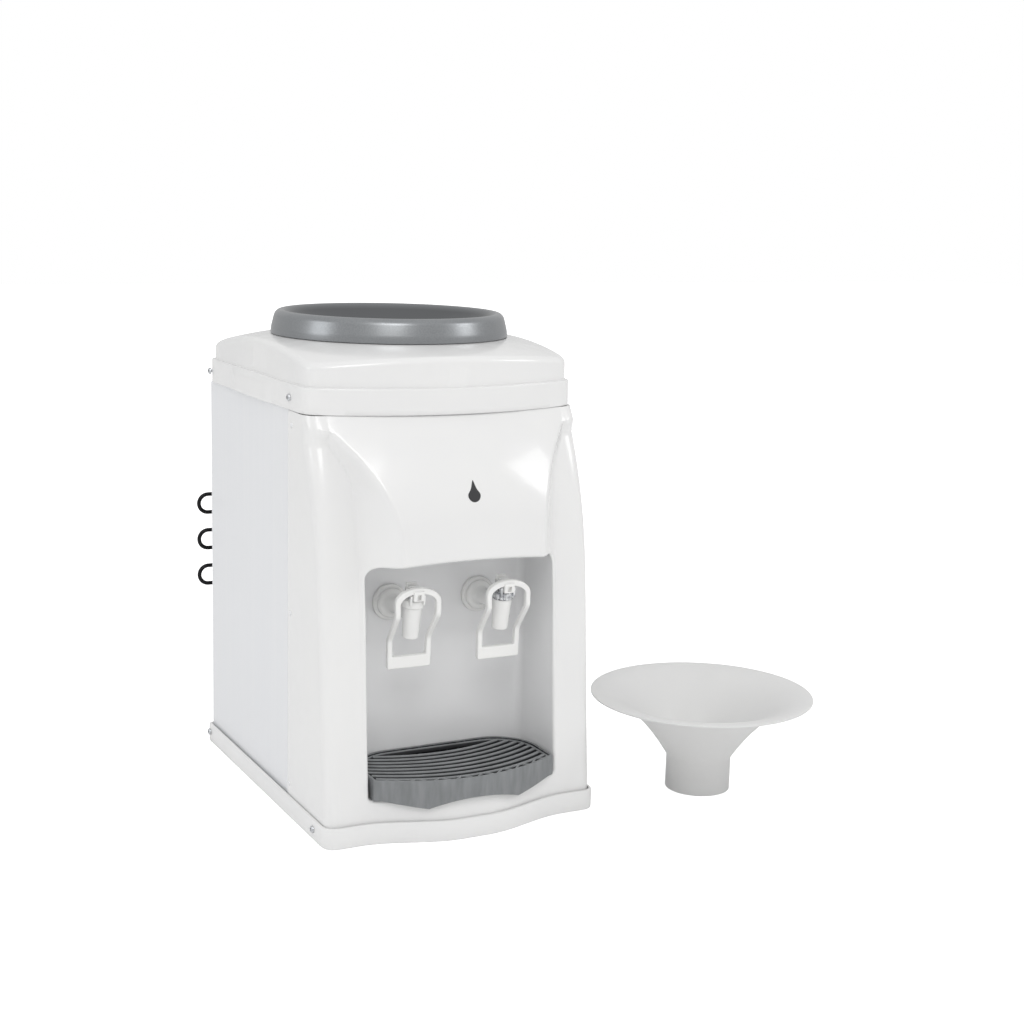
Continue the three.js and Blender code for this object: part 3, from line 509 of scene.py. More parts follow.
liner_points = [(x, front_y(x, z) + lip_radius + 0.8, z) for x, z in recess_ring(2.2)]
liner_rings = 9
for step in range(liner_rings):
    share = step / (liner_rings - 1)
    for x, z in recess_ring(0.05):
        start = front_y(x, z) + lip_radius + 0.7
        liner_points.append((x, mix(start, liner_back - liner_fillet, share), z))
fillet_steps = 7
for step in range(1, fillet_steps + 1):
    swing = math.pi / 2 * step / fillet_steps
    y = liner_back - liner_fillet * (1 - math.sin(swing))
    liner_points.extend((x, y, z) for x, z in recess_ring(0.05 - liner_fillet * (1 - math.cos(swing))))
liner_faces = ring_faces(len(liner_points) // ring_length, ring_length)
liner_faces.append(tuple(range(len(liner_points) - ring_length, len(liner_points))))
place_piece(
    "recess_liner_moulding", make_mesh(liner_points, liner_faces),
    liner_grey, "grey_liner_plastic", "housing", "recess_liner")


# Base. A shallow white ABS pan whose rim stands proud of the panels all round and follows the
# wavy front. The sheets and the front panel stand inside it and are screwed through its walls.
base_proud = 3.6
base_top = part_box("base_tray")[1].z * 1000
base_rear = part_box("base_tray")[1].y * 1000
base_corner = 6


def base_outline(inset):
    """Plan outline of the pan: the wavy front, then round the two rear corners."""
    front = front_outline(0, inset - base_proud, 88)
    half = panel_half + base_proud - inset
    back = base_rear - inset
    corner = base_corner - inset * 0.5
    rear = arc(half - corner, back - corner, corner, 0, 90, 6)
    return front + rear + [(-x, y) for x, y in reversed(rear)]


base_profile = [(6, 0.4), (2.7, 0.4), (2.4, 0), (1.6, 0), (0.5, 0.5), (0, 1.6), (0, 11),
                (0, base_top - 1.5), (0.45, base_top - 0.45), (1.5, base_top), (2.4, base_top),
                (3, base_top - 0.6), (3, 6)]
base_points = [(x, y, z) for inset, z in base_profile for x, y in base_outline(inset)]


def skinned(points, count, crease=38, looped=False, capped=False):
    """Mesh skinned over rings that have the same number of points."""
    faces = ring_faces(len(points) // count, count, looped=looped, capped=capped)
    return make_mesh(points, faces, crease)


place_piece(
    "base_pan_moulding", skinned(base_points, len(base_outline(0)), capped=True),
    white_gloss, "white_gloss_plastic", "housing", "base_tray")


# Top cover. White gloss ABS: an upright band with a finger grip on each side, a set-back ledge,
# and upright walls with a rounded shoulder under a low dome that slopes away from the collar.
# Two screws a side hold it to the steel sheets.
cover_rear = 170.6
band_top = 464.8
dome_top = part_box("top_cover")[1].z * 1000
dome_radius = 128
mouth_radius = 112
cover_count = 320


def cover_outline(inset, to_round, grip=0):
    """Plan outline of the cover, from square to round, with a grip swelling out on each side."""
    ring = []
    for k in range(cover_count):
        even = 2 * math.pi * (k + 0.5) / cover_count
        angle = even + 0.19 * math.sin(4 * even)
        c = math.cos(angle)
        s = math.sin(angle)
        power = mix(26 if s > 0 else 22, 2, to_round ** 0.35)
        reach = (abs(c) ** power + abs(s) ** power) ** (-1 / power)
        u = c * reach
        v = s * reach
        if s > 0:
            y = v * mix(cover_rear - inset, dome_radius, to_round)
        else:
            arch = mix(36, 0, to_round) * (1 - u * u)
            y = v * (mix(145.2 - inset, dome_radius, to_round) + arch)
        x = u * mix(cover_half - inset, dome_radius, to_round)
        if abs(u) > 0.9:
            swell = smooth(-60, -30, y) * (1 - smooth(62, 92, y))
            x += math.copysign(grip * swell, u)
        ring.append((x, y))
    return ring


cover_rings = [(2.1, 0, 447), (2.1, 0, band_bottom + 0.4), (1.7, 0, band_bottom),
               (0.6, 1.2, band_bottom), (0, 2.1, band_bottom + 0.6), (0, 2.5, band_bottom + 6),
               (0, 2.5, band_top - 8), (0, 1.6, band_top - 4), (0, 0.4, band_top - 2),
               (0, 0, band_top - 1), (0.3, 0, band_top - 0.3), (1, 0, band_top),
               (2.8, 0, band_top), (3.4, 0, band_top + 0.5)]
cover_points = [(x, y, z) for inset, grip, z in cover_rings for x, y in cover_outline(inset, 0, grip)]


def dome_height(x, y):
    """Height of the dome, which falls away faster and faster past the collar."""
    past = max(0, math.hypot(x, y) - dome_radius)
    return dome_top - 0.14 * past - 0.0011 * past * past


ledge = 3.5
shoulder = 5.5
shoulder_steps = 9
dome_steps = 26
for step in range(shoulder_steps + 1):
    swing = math.pi / 2 * step / shoulder_steps
    below = shoulder * (1 - math.sin(swing))
    ring = cover_outline(ledge + shoulder * (1 - math.cos(swing)), 0)
    cover_points.extend((x, y, dome_height(x, y) - below) for x, y in ring)
for step in range(1, dome_steps + 1):
    share = step / dome_steps
    ring = cover_outline(ledge + shoulder * (1 - share), share)
    cover_points.extend((x, y, dome_height(x, y)) for x, y in ring)
mouth_share = mouth_radius / dome_radius
cover_points.extend((x * mouth_share, y * mouth_share, dome_top) for x, y in cover_outline(ledge, 1))
place_piece(
    "top_cover_moulding", skinned(cover_points, cover_count, 50),
    white_gloss, "white_gloss_plastic", "housing", "top_cover")


# Bottle collar. A silver-grey ring, moulded in ABS with metal flake in it, that sits on the dome.
# Its rolled rim falls into a shallow bowl and then into the round neck that holds the bottle.
collar_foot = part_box("bottle_collar")[0].z * 1000
collar_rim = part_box("bottle_collar")[1].z * 1000
collar_radius = 131.4
turn_count = 160


def rounded_profile(corners, steps=6):
    """Profile whose inner corners are eased; each corner is a radius, a height and an easing."""
    path = [(corners[0][0], corners[0][1])]
    for k in range(1, len(corners) - 1):
        r, z, ease = corners[k]
        ends = []
        for other in (corners[k - 1], corners[k + 1]):
            length = math.hypot(other[0] - r, other[1] - z)
            part = min(ease, 0.48 * length) / length
            ends.append((mix(r, other[0], part), mix(z, other[1], part)))
        if ease == 0:
            path.append((r, z))
            continue
        for i in range(steps + 1):
            t = i / steps
            across = mix(mix(ends[0][0], r, t), mix(r, ends[1][0], t), t)
            up = mix(mix(ends[0][1], z, t), mix(z, ends[1][1], t), t)
            path.append((across, up))
    path.append((corners[-1][0], corners[-1][1]))
    return path


def turned_mesh(profile, count, crease=38, looped=False, shaped=None):
    """A profile of radius and height turned upright; shaped may change both with the angle."""
    points = []
    for radius, height in profile:
        for k in range(count):
            angle = 2 * math.pi * k / count
            r, z = shaped(radius, height, angle) if shaped else (radius, height)
            points.append((r * math.cos(angle), r * math.sin(angle), z))
    return skinned(points, count, crease, looped)


collar_material, collar_shader, collar_place = start_material("silver_grey_flake", 0.3, 0.8)
flake = ramp(noise(collar_place, 700, 1), (0.35, (0.27, 0.28, 0.29)), (0.62, (0.3, 0.311, 0.322)))
reach = fed_node("ShaderNodeVectorMath", stretched(collar_place, (1, 1, 0)), 0)
reach.operation = "LENGTH"


def painted_shade(shader, factor, dark, light):
    """Painted shade: a dark colour where the factor is 0, turning to the light one where it is 1."""
    node = factor.id_data.nodes.new("ShaderNodeMix")
    node.data_type = "RGBA"
    node.inputs["A"].default_value = (*dark, 1)
    feed(factor, node.inputs["Factor"])
    feed(light, node.inputs["B"])
    feed(node.outputs["Result"], shader.inputs["Base Color"])


# Painted shade and painted reflection: inside the rim the bowl and neck are painted near black, for their
# shade and the dark things they reflect.
painted_bowl_shade_mask = ranged(reach.outputs["Value"], 0.111, 0.121)
painted_shade(collar_shader, painted_bowl_shade_mask, (0.13, 0.134, 0.139), flake)
roughen(collar_shader, noise(collar_place, 20, 1), 0.29, 0.33)
relief(collar_shader, noise(collar_place, 16, 1), 0.03, 0.0003)

neck_radius = 77
collar_profile = rounded_profile([
    (collar_radius - 3, 505.1, 0), (collar_radius, 505.1, 0.5), (collar_radius - 0.7, 512, 2),
    (collar_radius - 4.4, collar_rim - 4, 3), (collar_radius - 9, collar_rim, 3),
    (collar_radius - 15, collar_rim - 0.6, 5), (107, 520, 10), (92, 508, 10), (neck_radius, 500, 6),
    (neck_radius, collar_foot, 0.8), (neck_radius + 2.6, collar_foot, 0.8), (neck_radius + 2.6, 499, 0)])
place_piece(
    "bottle_collar_ring", turned_mesh(collar_profile, turn_count),
    collar_material, "silver_grey_plastic", "housing", "bottle_collar")


# Steel sheets. Two side sheets and a louvred rear panel, folded from 1.2 mm steel and powder
# coated cool white; the coat shows a faint upright streak and a fine grain. Small aluminium
# rivets, painted over, pin the front panel to them.
def carry_over(material, *names):
    """Gives the finish to CAD solids that keep their own shape."""
    for name in names:
        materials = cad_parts[name].data.materials
        for k in range(len(materials)):
            materials[k] = material


steel_white, steel_shader, steel_place = start_material("powder_coated_steel", 0.38)
streaks = noise(stretched(steel_place, (110, 110, 3)), 1, 4)
paint(steel_shader, streaks, (0.3, (0.775, 0.785, 0.805)), (0.7, (0.8, 0.808, 0.822)))
roughen(steel_shader, streaks, 0.33, 0.44)
waves = relief(steel_shader, streaks, 0.02, 0.0002)
relief(steel_shader, noise(steel_place, 450, 1), 0.05, 0.0001, waves)
carry_over(steel_white, "left_side_panel", "right_side_panel", "rear_panel")

both_sides = (("left", -1), ("right", 1))
rivet_places = (("top", -108, 422.6), ("middle", -105, 223), ("low", -102, 34))
rivet_profile = rounded_profile([
    (2.7, 0, 0), (2.5, 0.5, 0.4), (1.5, 0.9, 0.6), (1.1, 0.55, 0.3), (0, 0.5, 0)], 4)


def on_side(side, reach, y, z):
    """Turns a fastener outwards and puts it on one side of the cabinet."""
    place = Matrix.Translation((side * reach / 1000, y / 1000, z / 1000))
    return place @ Matrix.Rotation(side * math.pi / 2, 4, "Y")


for side_name, side in both_sides:
    for height_name, y, z in rivet_places:
        rivet = turned_mesh(rivet_profile, 24)
        rivet.transform(on_side(side, panel_half + 0.02, y, z))
        place_piece(
            f"{side_name}_{height_name}_rivet_head", rivet, steel_white, "painted_steel", "housing",
            f"{side_name}_{height_name}_rivet")


# Screws. Zinc-plated pan heads with a cross recess, two a side through the cover's band and two
# a side through the base's wall, driven into the steel sheets.
def patchy_finish(name, scale, detail, dark, light, gloss, strength, depth, metallic=1.0):
    """Finish whose tone, gloss and bumps follow the same patches."""
    material, shader, place = start_material(name, mix(*gloss, 0.5), metallic)
    patches = noise(place, scale, detail)
    paint(shader, patches, dark, light)
    roughen(shader, patches, *gloss)
    relief(shader, patches, strength, depth)
    return material


zinc = patchy_finish(
    "zinc_plated_steel", 520, 4, (0.35, (0.5, 0.52, 0.55)), (0.65, (0.68, 0.69, 0.7)), (0.22, 0.4),
    0.15, 0.0002)


def slab(x0, x1, y0, y1, z0, z1, round_off=0.0, steps=3):
    """Block in millimetres with its edges rounded off."""
    shape = bmesh.new()
    bmesh.ops.create_cube(shape, size=1)
    low = Vector((x0, y0, z0))
    high = Vector((x1, y1, z1))
    for corner in shape.verts:
        corner.co = (low + (high - low) * (corner.co + Vector((0.5, 0.5, 0.5)))) / 1000
    if round_off:
        bmesh.ops.bevel(
            shape, geom=shape.edges[:], offset=round_off / 1000, segments=steps, profile=0.5, affect="EDGES")
    mesh = bpy.data.meshes.new("slab")
    shape.to_mesh(mesh)
    shape.free()
    return shade(mesh, 50)


def carved(mesh, cutters, crease=35):
    """The mesh with every cutter mesh taken away from it."""
    keep = add_object("carved_blank", mesh)
    helpers = [keep]
    for cutter in cutters:
        cut = keep.modifiers.new("cut", "BOOLEAN")
        cut.operation = "DIFFERENCE"
        cut.solver = "EXACT"
        cut.object = add_object("carving_tool", cutter)
        helpers.append(cut.object)
    bpy.context.view_layer.update()
    solved = keep.evaluated_get(bpy.context.evaluated_depsgraph_get())
    result = bpy.data.meshes.new_from_object(solved)
    for helper in helpers:
        bpy.data.objects.remove(helper)
    return shade(result, crease)


head_profile = rounded_profile([
    (0, -1.5, 0), (1.8, -1.5, 0), (1.8, 0, 0), (4, 0, 0.3), (3.7, 1.6, 1), (2.2, 2.5, 1), (0, 2.65, 0)], 5)
cross_recess = [slab(-2.1, 2.1, -0.45, 0.45, 1.1, 4), slab(-0.45, 0.45, -2.1, 2.1, 1.1, 4)]
head = carved(turned_mesh(head_profile, 40), cross_recess)
base_wall = panel_half + base_proud
screw_places = (("rear_cover", 162, 450, cover_half), ("front_cover", -102.6, 450.7, cover_half),
                ("rear_base", 164, 12.5, base_wall), ("front_base", -183, 12, base_wall))
for side_name, side in both_sides:
    for k, (where, y, z, wall) in enumerate(screw_places):
        name = f"{side_name}_{where}_screw"
        screw = head.copy()
        screw.transform(on_side(side, wall + 0.2, y, z) @ Matrix.Rotation(0.5 + 0.7 * k, 4, "Z"))
        place_piece(f"{name}_head", screw, zinc, "zinc_steel", "housing", name)


# Taps. White acetal bodies clamped through the back plate by a flange and a nut, with the spout
# barrel leaning forwards. The cold tap on the right has a chromed, notched cap nut.
tap_x = 52
tap_z = 232
spout_y = -188
lean = Matrix.Rotation(math.radians(8), 4, "X")
tap_white = moulded_plastic("white_tap_acetal", (0.87, 0.87, 0.855), (0.83, 0.83, 0.82), 0.2, 0.0, 0.03)
chrome = patchy_finish(
    "bright_chrome", 160, 3, (0.38, (0.36, 0.37, 0.39)), (0.62, (0.8, 0.81, 0.82)), (0.06, 0.18),
    0.05, 0.0002)


def joined(meshes, crease=38):
    """Several meshes as one."""
    shape = bmesh.new()
    for mesh in meshes:
        shape.from_mesh(mesh)
    whole = bpy.data.meshes.new("whole")
    shape.to_mesh(whole)
    shape.free()
    return shade(whole, crease)


def in_tap(mesh, side, tilted=True):
    """Moves a mesh from the tap's own axes to its place on one side."""
    place = Matrix.Translation((side * tap_x / 1000, spout_y / 1000, tap_z / 1000))
    mesh.transform(place @ lean if tilted else place)
    return mesh


def tap_body(side):
    """The arm with its flange, level, and the leaning spout barrel."""
    back = -128.3 - spout_y
    arm = turned_mesh(rounded_profile([
        (0, back, 0), (19.5, back, 0), (19.5, back - 3.2, 0.6), (18.6, back - 4.4, 0.8), (16, back - 4.6, 0),
        (16, back - 8, 1.2), (14.5, back - 9.6, 1.2), (10.5, back - 10.6, 1.5), (8.6, back - 15, 3),
        (8, back - 24, 4), (8, 4, 0)], 5), 56)
    arm.transform(Matrix.Rotation(-math.pi / 2, 4, "X"))
    barrel = turned_mesh(rounded_profile([
        (6.9, -12, 0), (7, -24.4, 0.3), (7.6, -25, 0.5), (8.5, -24.6, 0.6), (10.4, 8, 0.4), (10.4, 9, 0.3),
        (0, 9, 0)], 5), 56)
    return joined([in_tap(arm, side, False), in_tap(barrel, side)])


def notched_cap(notches, depth):
    """Cap nut turned with notches round its wall."""
    profile = rounded_profile([
        (9.8, 9.4, 0), (11.4, 9.4, 0.5), (12, 10.4, 0.6), (12, 16.9, 0.7), (11.2, 17.9, 0.7), (7.5, 18, 0.4),
        (3, 18, 0)], 4)

    def notched(r, z, angle):
        tooth = 0.5 + 0.5 * math.cos(notches * angle)
        share = smooth(0.25, 0.6, tooth) if r > 10.5 and z > 10 else 1
        return r - depth * (1 - share), z

    return turned_mesh(profile, 96, 30, shaped=notched)


def plate(outlines, thickness, round_off, steps=3):
    """Flat plate with holes and rounded edges, from outlines in its own plane."""
    curve = bpy.data.curves.new("plate", "CURVE")
    curve.dimensions = "2D"
    curve.fill_mode = "BOTH"
    curve.extrude = (thickness / 2 - round_off) / 1000
    curve.bevel_depth = round_off / 1000
    curve.bevel_resolution = steps
    curve.offset = -round_off / 1000
    for outline in outlines:
        spline = curve.splines.new("POLY")
        spline.points.add(len(outline) - 1)
        for point, (u, v) in zip(spline.points, outline):
            point.co = (u / 1000, v / 1000, 0, 1)
        spline.use_cyclic_u = True
    holder = add_object("plate", curve)
    bpy.context.view_layer.update()
    mesh = bpy.data.meshes.new_from_object(holder.evaluated_get(bpy.context.evaluated_depsgraph_get()))
    bpy.data.objects.remove(holder)
    shape = bmesh.new()
    shape.from_mesh(mesh)
    bmesh.ops.remove_doubles(shape, verts=shape.verts, dist=1e-6)
    bmesh.ops.recalc_face_normals(shape, faces=shape.faces)
    shape.to_mesh(mesh)
    shape.free()
    return mesh


def arched(half, foot, top, rise, foot_radius=2.0):
    """Outline with a rounded foot and an elliptical crown."""
    foot_x = half - 1.2 - foot_radius
    outline = arc(-foot_x, foot + foot_radius, foot_radius, 180, 270, 5)
    outline.extend(arc(foot_x, foot + foot_radius, foot_radius, 270, 360, 5))
    outline.extend((half * u, top - rise + rise * v) for u, v in arc(0, 0, 1, 0, 180, 32))
    return outline


lever_bends = ((35, -12.5), (4, -17.6), (-28, 0.2), (-59.5, -3.3))


def crank_y(z):
    """Where the lever's crank lies at one height, eased at its bends."""
    total = 0
    for at in (z - 3, z - 1.5, z, z + 1.5, z + 3):
        for (z0, y0), (z1, y1) in zip(lever_bends, lever_bends[1:]):
            if at >= z1 or z1 == lever_bends[-1][0]:
                total += mix(y0, y1, (at - z0) / (z1 - z0))
                break
    return total / 5


def tap_lever(side):
    """The cranked loop, the bridge with its square slot, the heel behind it and the web in front."""
    loop = plate([arched(25.5, -59, 33, 15), arched(20.3, -46, 27.2, 11, 1.5)], 6, 1.0)
    loop.transform(Matrix.Rotation(math.pi / 2, 4, "X"))
    shape = bmesh.new()
    shape.from_mesh(loop)
    for k in range(46):
        cut = (-58 + 2 * k) / 1000
        bmesh.ops.bisect_plane(
            shape, geom=shape.verts[:] + shape.edges[:] + shape.faces[:],
            plane_co=(0, 0, cut), plane_no=(0, 0, 1))
    for corner in shape.verts:
        corner.co.y += (crank_y(corner.co.z * 1000) + 3) / 1000
    shape.to_mesh(loop)
    shape.free()
    bridge_sides = [(-5.8, -11.4), (5.8, -11.4), (5.8, 9), (-5.8, 9)]
    slot = [(-3.6, -5.4), (3.6, -5.4), (3.6, 5.3), (-3.6, 5.3)]
    bridge = plate([bridge_sides, slot], 8.4, 0.7)
    bridge.transform(Matrix.Translation((0, 0, 0.0238)))
    heel = slab(-5.8, 5.8, 5.4, 9, 19.6, 33, 1.0)
    hole = slab(-2.2, 2.2, -17, -11.8, 21, 26.8)
    web = carved(slab(-5.8, 5.8, -15.6, -11, 19.6, 30, 0.6), [hole])
    return in_tap(joined([loop, bridge, heel, web]), side)


for side_name, side in both_sides:
    place_piece(
        f"{side_name}_tap_spout", tap_body(side), tap_white, "tap_plastic", "housing",
        f"{side_name}_tap_body")
    cap = notched_cap(12, 0.9 if side > 0 else 0)
    ears = [slab(ear * 7.4 - 1.1, ear * 7.4 + 1.1, -12.7, -7.3, 14, 24.9, 0.5) for ear in (-1, 1)]
    cap_nut = in_tap(joined([cap, *ears], 30), side)
    finish, slot = (chrome, "chrome_trim") if side > 0 else (tap_white, "tap_plastic")
    place_piece(f"{side_name}_cap_nut", cap_nut, finish, slot, "housing", f"{side_name}_tap_bonnet")
    place_piece(
        f"{side_name}_lever_loop", tap_lever(side), tap_white, "tap_plastic", f"{side_name}_lever",
        f"{side_name}_tap_lever")
carry_over(zinc, "left_tap_pin", "right_tap_pin", "left_tap_spring", "right_tap_spring")
carry_over(tap_white, "left_tap_stem", "right_tap_stem", "left_tap_nut", "right_tap_nut")


# Drip tray and grille. Mid-grey ABS, matt, with pale scuffs where cups and cloths rub it. The
# tray's front wall bows out and hangs in two points over the sill; the grille's curved ribs and
# its zigzag edge lift out for washing.
tray_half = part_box("drip_tray")[1].x * 1000
tray_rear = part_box("drip_tray")[1].y * 1000
tray_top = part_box("drip_tray")[1].z * 1000
tray_tip = 37
tray_corner_y = -216.5
tray_bow = 30.5
tray_floor = 45.5
tray_wall = 2.4
tray_front_steps = 96


def bow_at(x, half=tray_half):
    return tray_bow * (1 - (x / half) ** 2)


def tray_outline(inset):
    """Plan outline of the tray: a bowed front, then round the two rear corners."""
    half = tray_half - inset
    ring = []
    for k in range(tray_front_steps + 1):
        x = mix(-half, half, k / tray_front_steps)
        ring.append((x, tray_corner_y + inset - bow_at(x, half)))
    radius = 48 - inset
    back = arc(half - radius, tray_rear - inset - radius, radius, 0, 90, 16)
    return ring + back + [(-x, y) for x, y in reversed(back)]


def tray_under(x):
    """Lower edge of the front wall: two hanging points with an arch between them."""
    tip = 52
    root = tray_half - 8
    if abs(x) <= tip:
        return mix(tray_floor, tray_tip, (x / tip) ** 2)
    return mix(tray_tip, tray_floor, min(1, (abs(x) - tip) / (root - tip)))


def scuffed_plastic(name, light, dark, roughness):
    """Matt plastic with upright scuffs, pale rub marks and a fine spark-eroded grain."""
    material, shader, place = start_material(name, roughness)
    scuffs = noise(stretched(place, (150, 150, 26)), 1, 6)
    paint(shader, scuffs, (0.34, dark), (0.66, light))
    roughen(shader, scuffs, roughness - 0.08, roughness + 0.1)
    slow = relief(shader, noise(place, 22, 1), 0.15, 0.0006)
    relief(shader, noise(place, 1500, 2), 0.16, 0.0002, slow)
    return material


tray_points = []
tray_profile = [(tray_wall + 3, -1), (tray_wall, 0), (0.7, 0), (0, 0.7), (0, None), (0, tray_top - 0.9),
                (0.35, tray_top - 0.25), (1.1, tray_top), (tray_wall - 0.9, tray_top),
                (tray_wall - 0.2, tray_top - 0.3), (tray_wall, tray_top - 1), (tray_wall, tray_floor + 4),
                (tray_wall + 0.6, tray_floor + 2.6), (tray_wall + 2, tray_floor + 2)]
tray_ring_length = len(tray_outline(0))
for row, (inset, height) in enumerate(tray_profile):
    for k, (x, y) in enumerate(tray_outline(inset)):
        under = tray_under(x) if k <= tray_front_steps else tray_floor
        if height is None:
            z = mix(under, tray_top, 0.5)
        elif row == 0:
            z = tray_floor
        elif row < 4:
            z = under + height
        else:
            z = height
        tray_points.append((x, y, z))
tray_grey = scuffed_plastic("grey_tray_plastic", (0.235, 0.245, 0.252), (0.18, 0.188, 0.194), 0.42)
# Painted shade: a near-black copy of the tray's grey, for the shade inside the tray.
painted_shade_grey = scuffed_plastic("tray_inside_painted_shade", (0.05, 0.052, 0.056), (0.03, 0.031, 0.034), 0.25)
tray = place_piece(
    "drip_tray_moulding", skinned(tray_points, tray_ring_length, capped=True),
    tray_grey, "grey_plastic", "drip_tray", "drip_tray")
tray.data.materials.append(painted_shade_grey)
# The inner walls and floor take the painted shade; the outside keeps the plain grey.
for face in tray.data.polygons:
    x, y, _ = face.center * 1000
    low_down = all(tray_floor + 1 < tray.data.vertices[k].co.z * 1000 < tray_top - 0.9 for k in face.vertices)
    inside = y > tray_corner_y - bow_at(x) + 1.5 and abs(x) < tray_half - 1.5
    face.material_index = int(low_down and inside)

grille_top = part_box("drip_grille")[1].z * 1000
rib_depth = 5
front_rib = tray_corner_y + 14


def bar(points, width, low, high, round_off=0.7):
    """Bar with a rounded top along a path in plan."""
    half = width / 2
    edge = [(half, low), (half, high - round_off), (half - 0.3 * round_off, high - 0.3 * round_off),
            (half - round_off, high)]
    section = [(-across, z) for across, z in edge] + edge[::-1]
    rings = []
    for k, (x, y) in enumerate(points):
        ahead_x, ahead_y = points[min(k + 1, len(points) - 1)]
        behind_x, behind_y = points[max(k - 1, 0)]
        along = Vector((ahead_x - behind_x, ahead_y - behind_y)).normalized()
        rings.extend((x - along.y * across, y + along.x * across, z) for across, z in section)
    return skinned(rings, len(section), 40, capped=True)


def in_grille(x, y):
    """True inside the tray's inner outline, short of its wall."""
    short = 4.4
    radius = 44
    if abs(x) > tray_half - short or y > tray_rear - short:
        return False
    corner_x = abs(x) - (tray_half - short - radius)
    corner_y = y - (tray_rear - short - radius)
    return not (corner_x > 0 and corner_y > 0 and math.hypot(corner_x, corner_y) > radius)


rib_foot = grille_top - rib_depth
rim_profile = ((3.2, rib_foot), (3.2, grille_top - 0.5), (3.6, grille_top), (4.9, grille_top),
               (5.2, grille_top - 0.4), (5.2, rib_foot))
rim = [(x, y, z) for inset, z in rim_profile for x, y in tray_outline(inset)]
grille_parts = [skinned(rim, tray_ring_length, looped=True)]
for rib in range(8):
    path = []
    for k in range(97):
        x = mix(-tray_half, tray_half, k / 96)
        y = front_rib + 11 * rib - bow_at(x)
        if in_grille(x, y):
            path.append((x, y))
    grille_parts.append(bar(path, 4.4, rib_foot, grille_top))
zigzag = []
for k in range(17):
    x = mix(-tray_half + 8, tray_half - 8, k / 16)
    zigzag.append((x, (front_rib if k % 2 else tray_corner_y + 4) - bow_at(x)))
for start, end in zip(zigzag, zigzag[1:]):
    grille_parts.append(bar([start, end], 2.2, rib_foot, grille_top - 0.1, 0.5))
for x in (-50, 50):
    grille_parts.append(bar([(x, -228), (x, -137)], 3, rib_foot - 2, rib_foot + 0.5))
grille_grey, grille_shader, grille_place = start_material("grey_grille_plastic", 0.4)
grille_wear = noise(grille_place, 60, 4)
rubbed = ramp(grille_wear, (0.35, (0.2, 0.208, 0.215)), (0.65, (0.26, 0.27, 0.278)))
# Painted shade: below their top faces the bars are painted near black, for the shade down in the gaps between
# them.
painted_gap_shade_mask = ranged(height_of(grille_place), (grille_top - 1.6) / 1000, (grille_top - 0.5) / 1000)
painted_shade(grille_shader, painted_gap_shade_mask, (0.03, 0.031, 0.033), rubbed)
roughen(grille_shader, grille_wear, 0.34, 0.5)
relief(grille_shader, noise(grille_place, 420, 2), 0.1, 0.0002)
place_piece(
    "drip_grille_moulding", joined(grille_parts, 40),
    grille_grey, "grey_plastic", "drip_grille", "drip_grille")


# Bottle funnel and spike. The funnel is blown from milky polypropylene, thin enough to glow, with
# a plain skirt that drops into the collar; the grey spike tube, cut on a slant, snaps into its
# throat and pierces the bottle's cap.
funnel_low, funnel_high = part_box("bottle_funnel")
funnel_place = Vector(((funnel_low.x + funnel_high.x) / 2, (funnel_low.y + funnel_high.y) / 2, funnel_low.z))
milky = moulded_plastic("milky_polypropylene", (0.87, 0.87, 0.865), (0.85, 0.85, 0.85), 0.37, 0.0, 0.03)
milky_nodes = milky.node_tree.nodes
glow = milky_nodes.new("ShaderNodeBsdfTranslucent")
glow.inputs["Color"].default_value = (0.85, 0.85, 0.845, 1)
milky_mix = fed_node("ShaderNodeMixShader", milky_nodes["Principled BSDF"].outputs[0], 1)
milky_mix.inputs[0].default_value = 0.35
feed(glow.outputs[0], milky_mix.inputs[2])
feed(milky_mix.outputs[0], milky_nodes["Material Output"].inputs["Surface"])

funnel_radius = 125
funnel_height = 111
skirt_radius = 36.5
funnel_wall = 2.2
throat_height = 40
throat_floor = 26
spike_radius = 11


def flare(r):
    """Height of the cone's outside at one radius."""
    drop = ((funnel_radius - r) / (funnel_radius - skirt_radius)) ** 2
    return mix(funnel_height, throat_height, drop)


flare_steps = 28
flare_radii = [mix(skirt_radius, funnel_radius, k / flare_steps) for k in range(flare_steps + 1)]
funnel_profile = [(skirt_radius - 0.3, 0), (skirt_radius, 0.5)]
funnel_profile.extend((r, flare(r) - funnel_wall) for r in flare_radii)
funnel_profile.extend([(funnel_radius + 0.6, funnel_height - 1.6), (funnel_radius + 0.75, funnel_height - 1),
                       (funnel_radius + 0.4, funnel_height - 0.2), (funnel_radius - 0.3, funnel_height)])
for r in reversed(flare_radii[1:-1]):
    funnel_profile.append((r - 1.2, flare(r) + 0.9 * (1 - (r / funnel_radius) ** 8)))
inner_skirt = skirt_radius - funnel_wall
funnel_profile.extend([
    (inner_skirt + 0.2, throat_height - 2), (inner_skirt, throat_height - 6), (inner_skirt, throat_floor + 4),
    (inner_skirt - 0.6, throat_floor + 2.8), (inner_skirt - 1.8, throat_floor + 2.4),
    (spike_radius + 0.3, throat_floor + 2.4), (spike_radius + 0.3, throat_floor), (inner_skirt, throat_floor),
    (inner_skirt, 0.4), (skirt_radius - 1.8, 0)])
funnel = turned_mesh(funnel_profile, turn_count, 45, looped=True)
funnel.transform(Matrix.Translation(funnel_place))
place_piece("bottle_funnel_shell", funnel, milky, "milky_polypropylene", "bottle_funnel", "bottle_funnel")

spike_foot = 6
spike_top = throat_floor + 34
spike_profile = [
    (spike_radius, spike_foot), (spike_radius, spike_top), (spike_radius - 0.9, spike_top + 0.35),
    (spike_radius - 1.8, spike_top), (spike_radius - 1.8, spike_foot)]


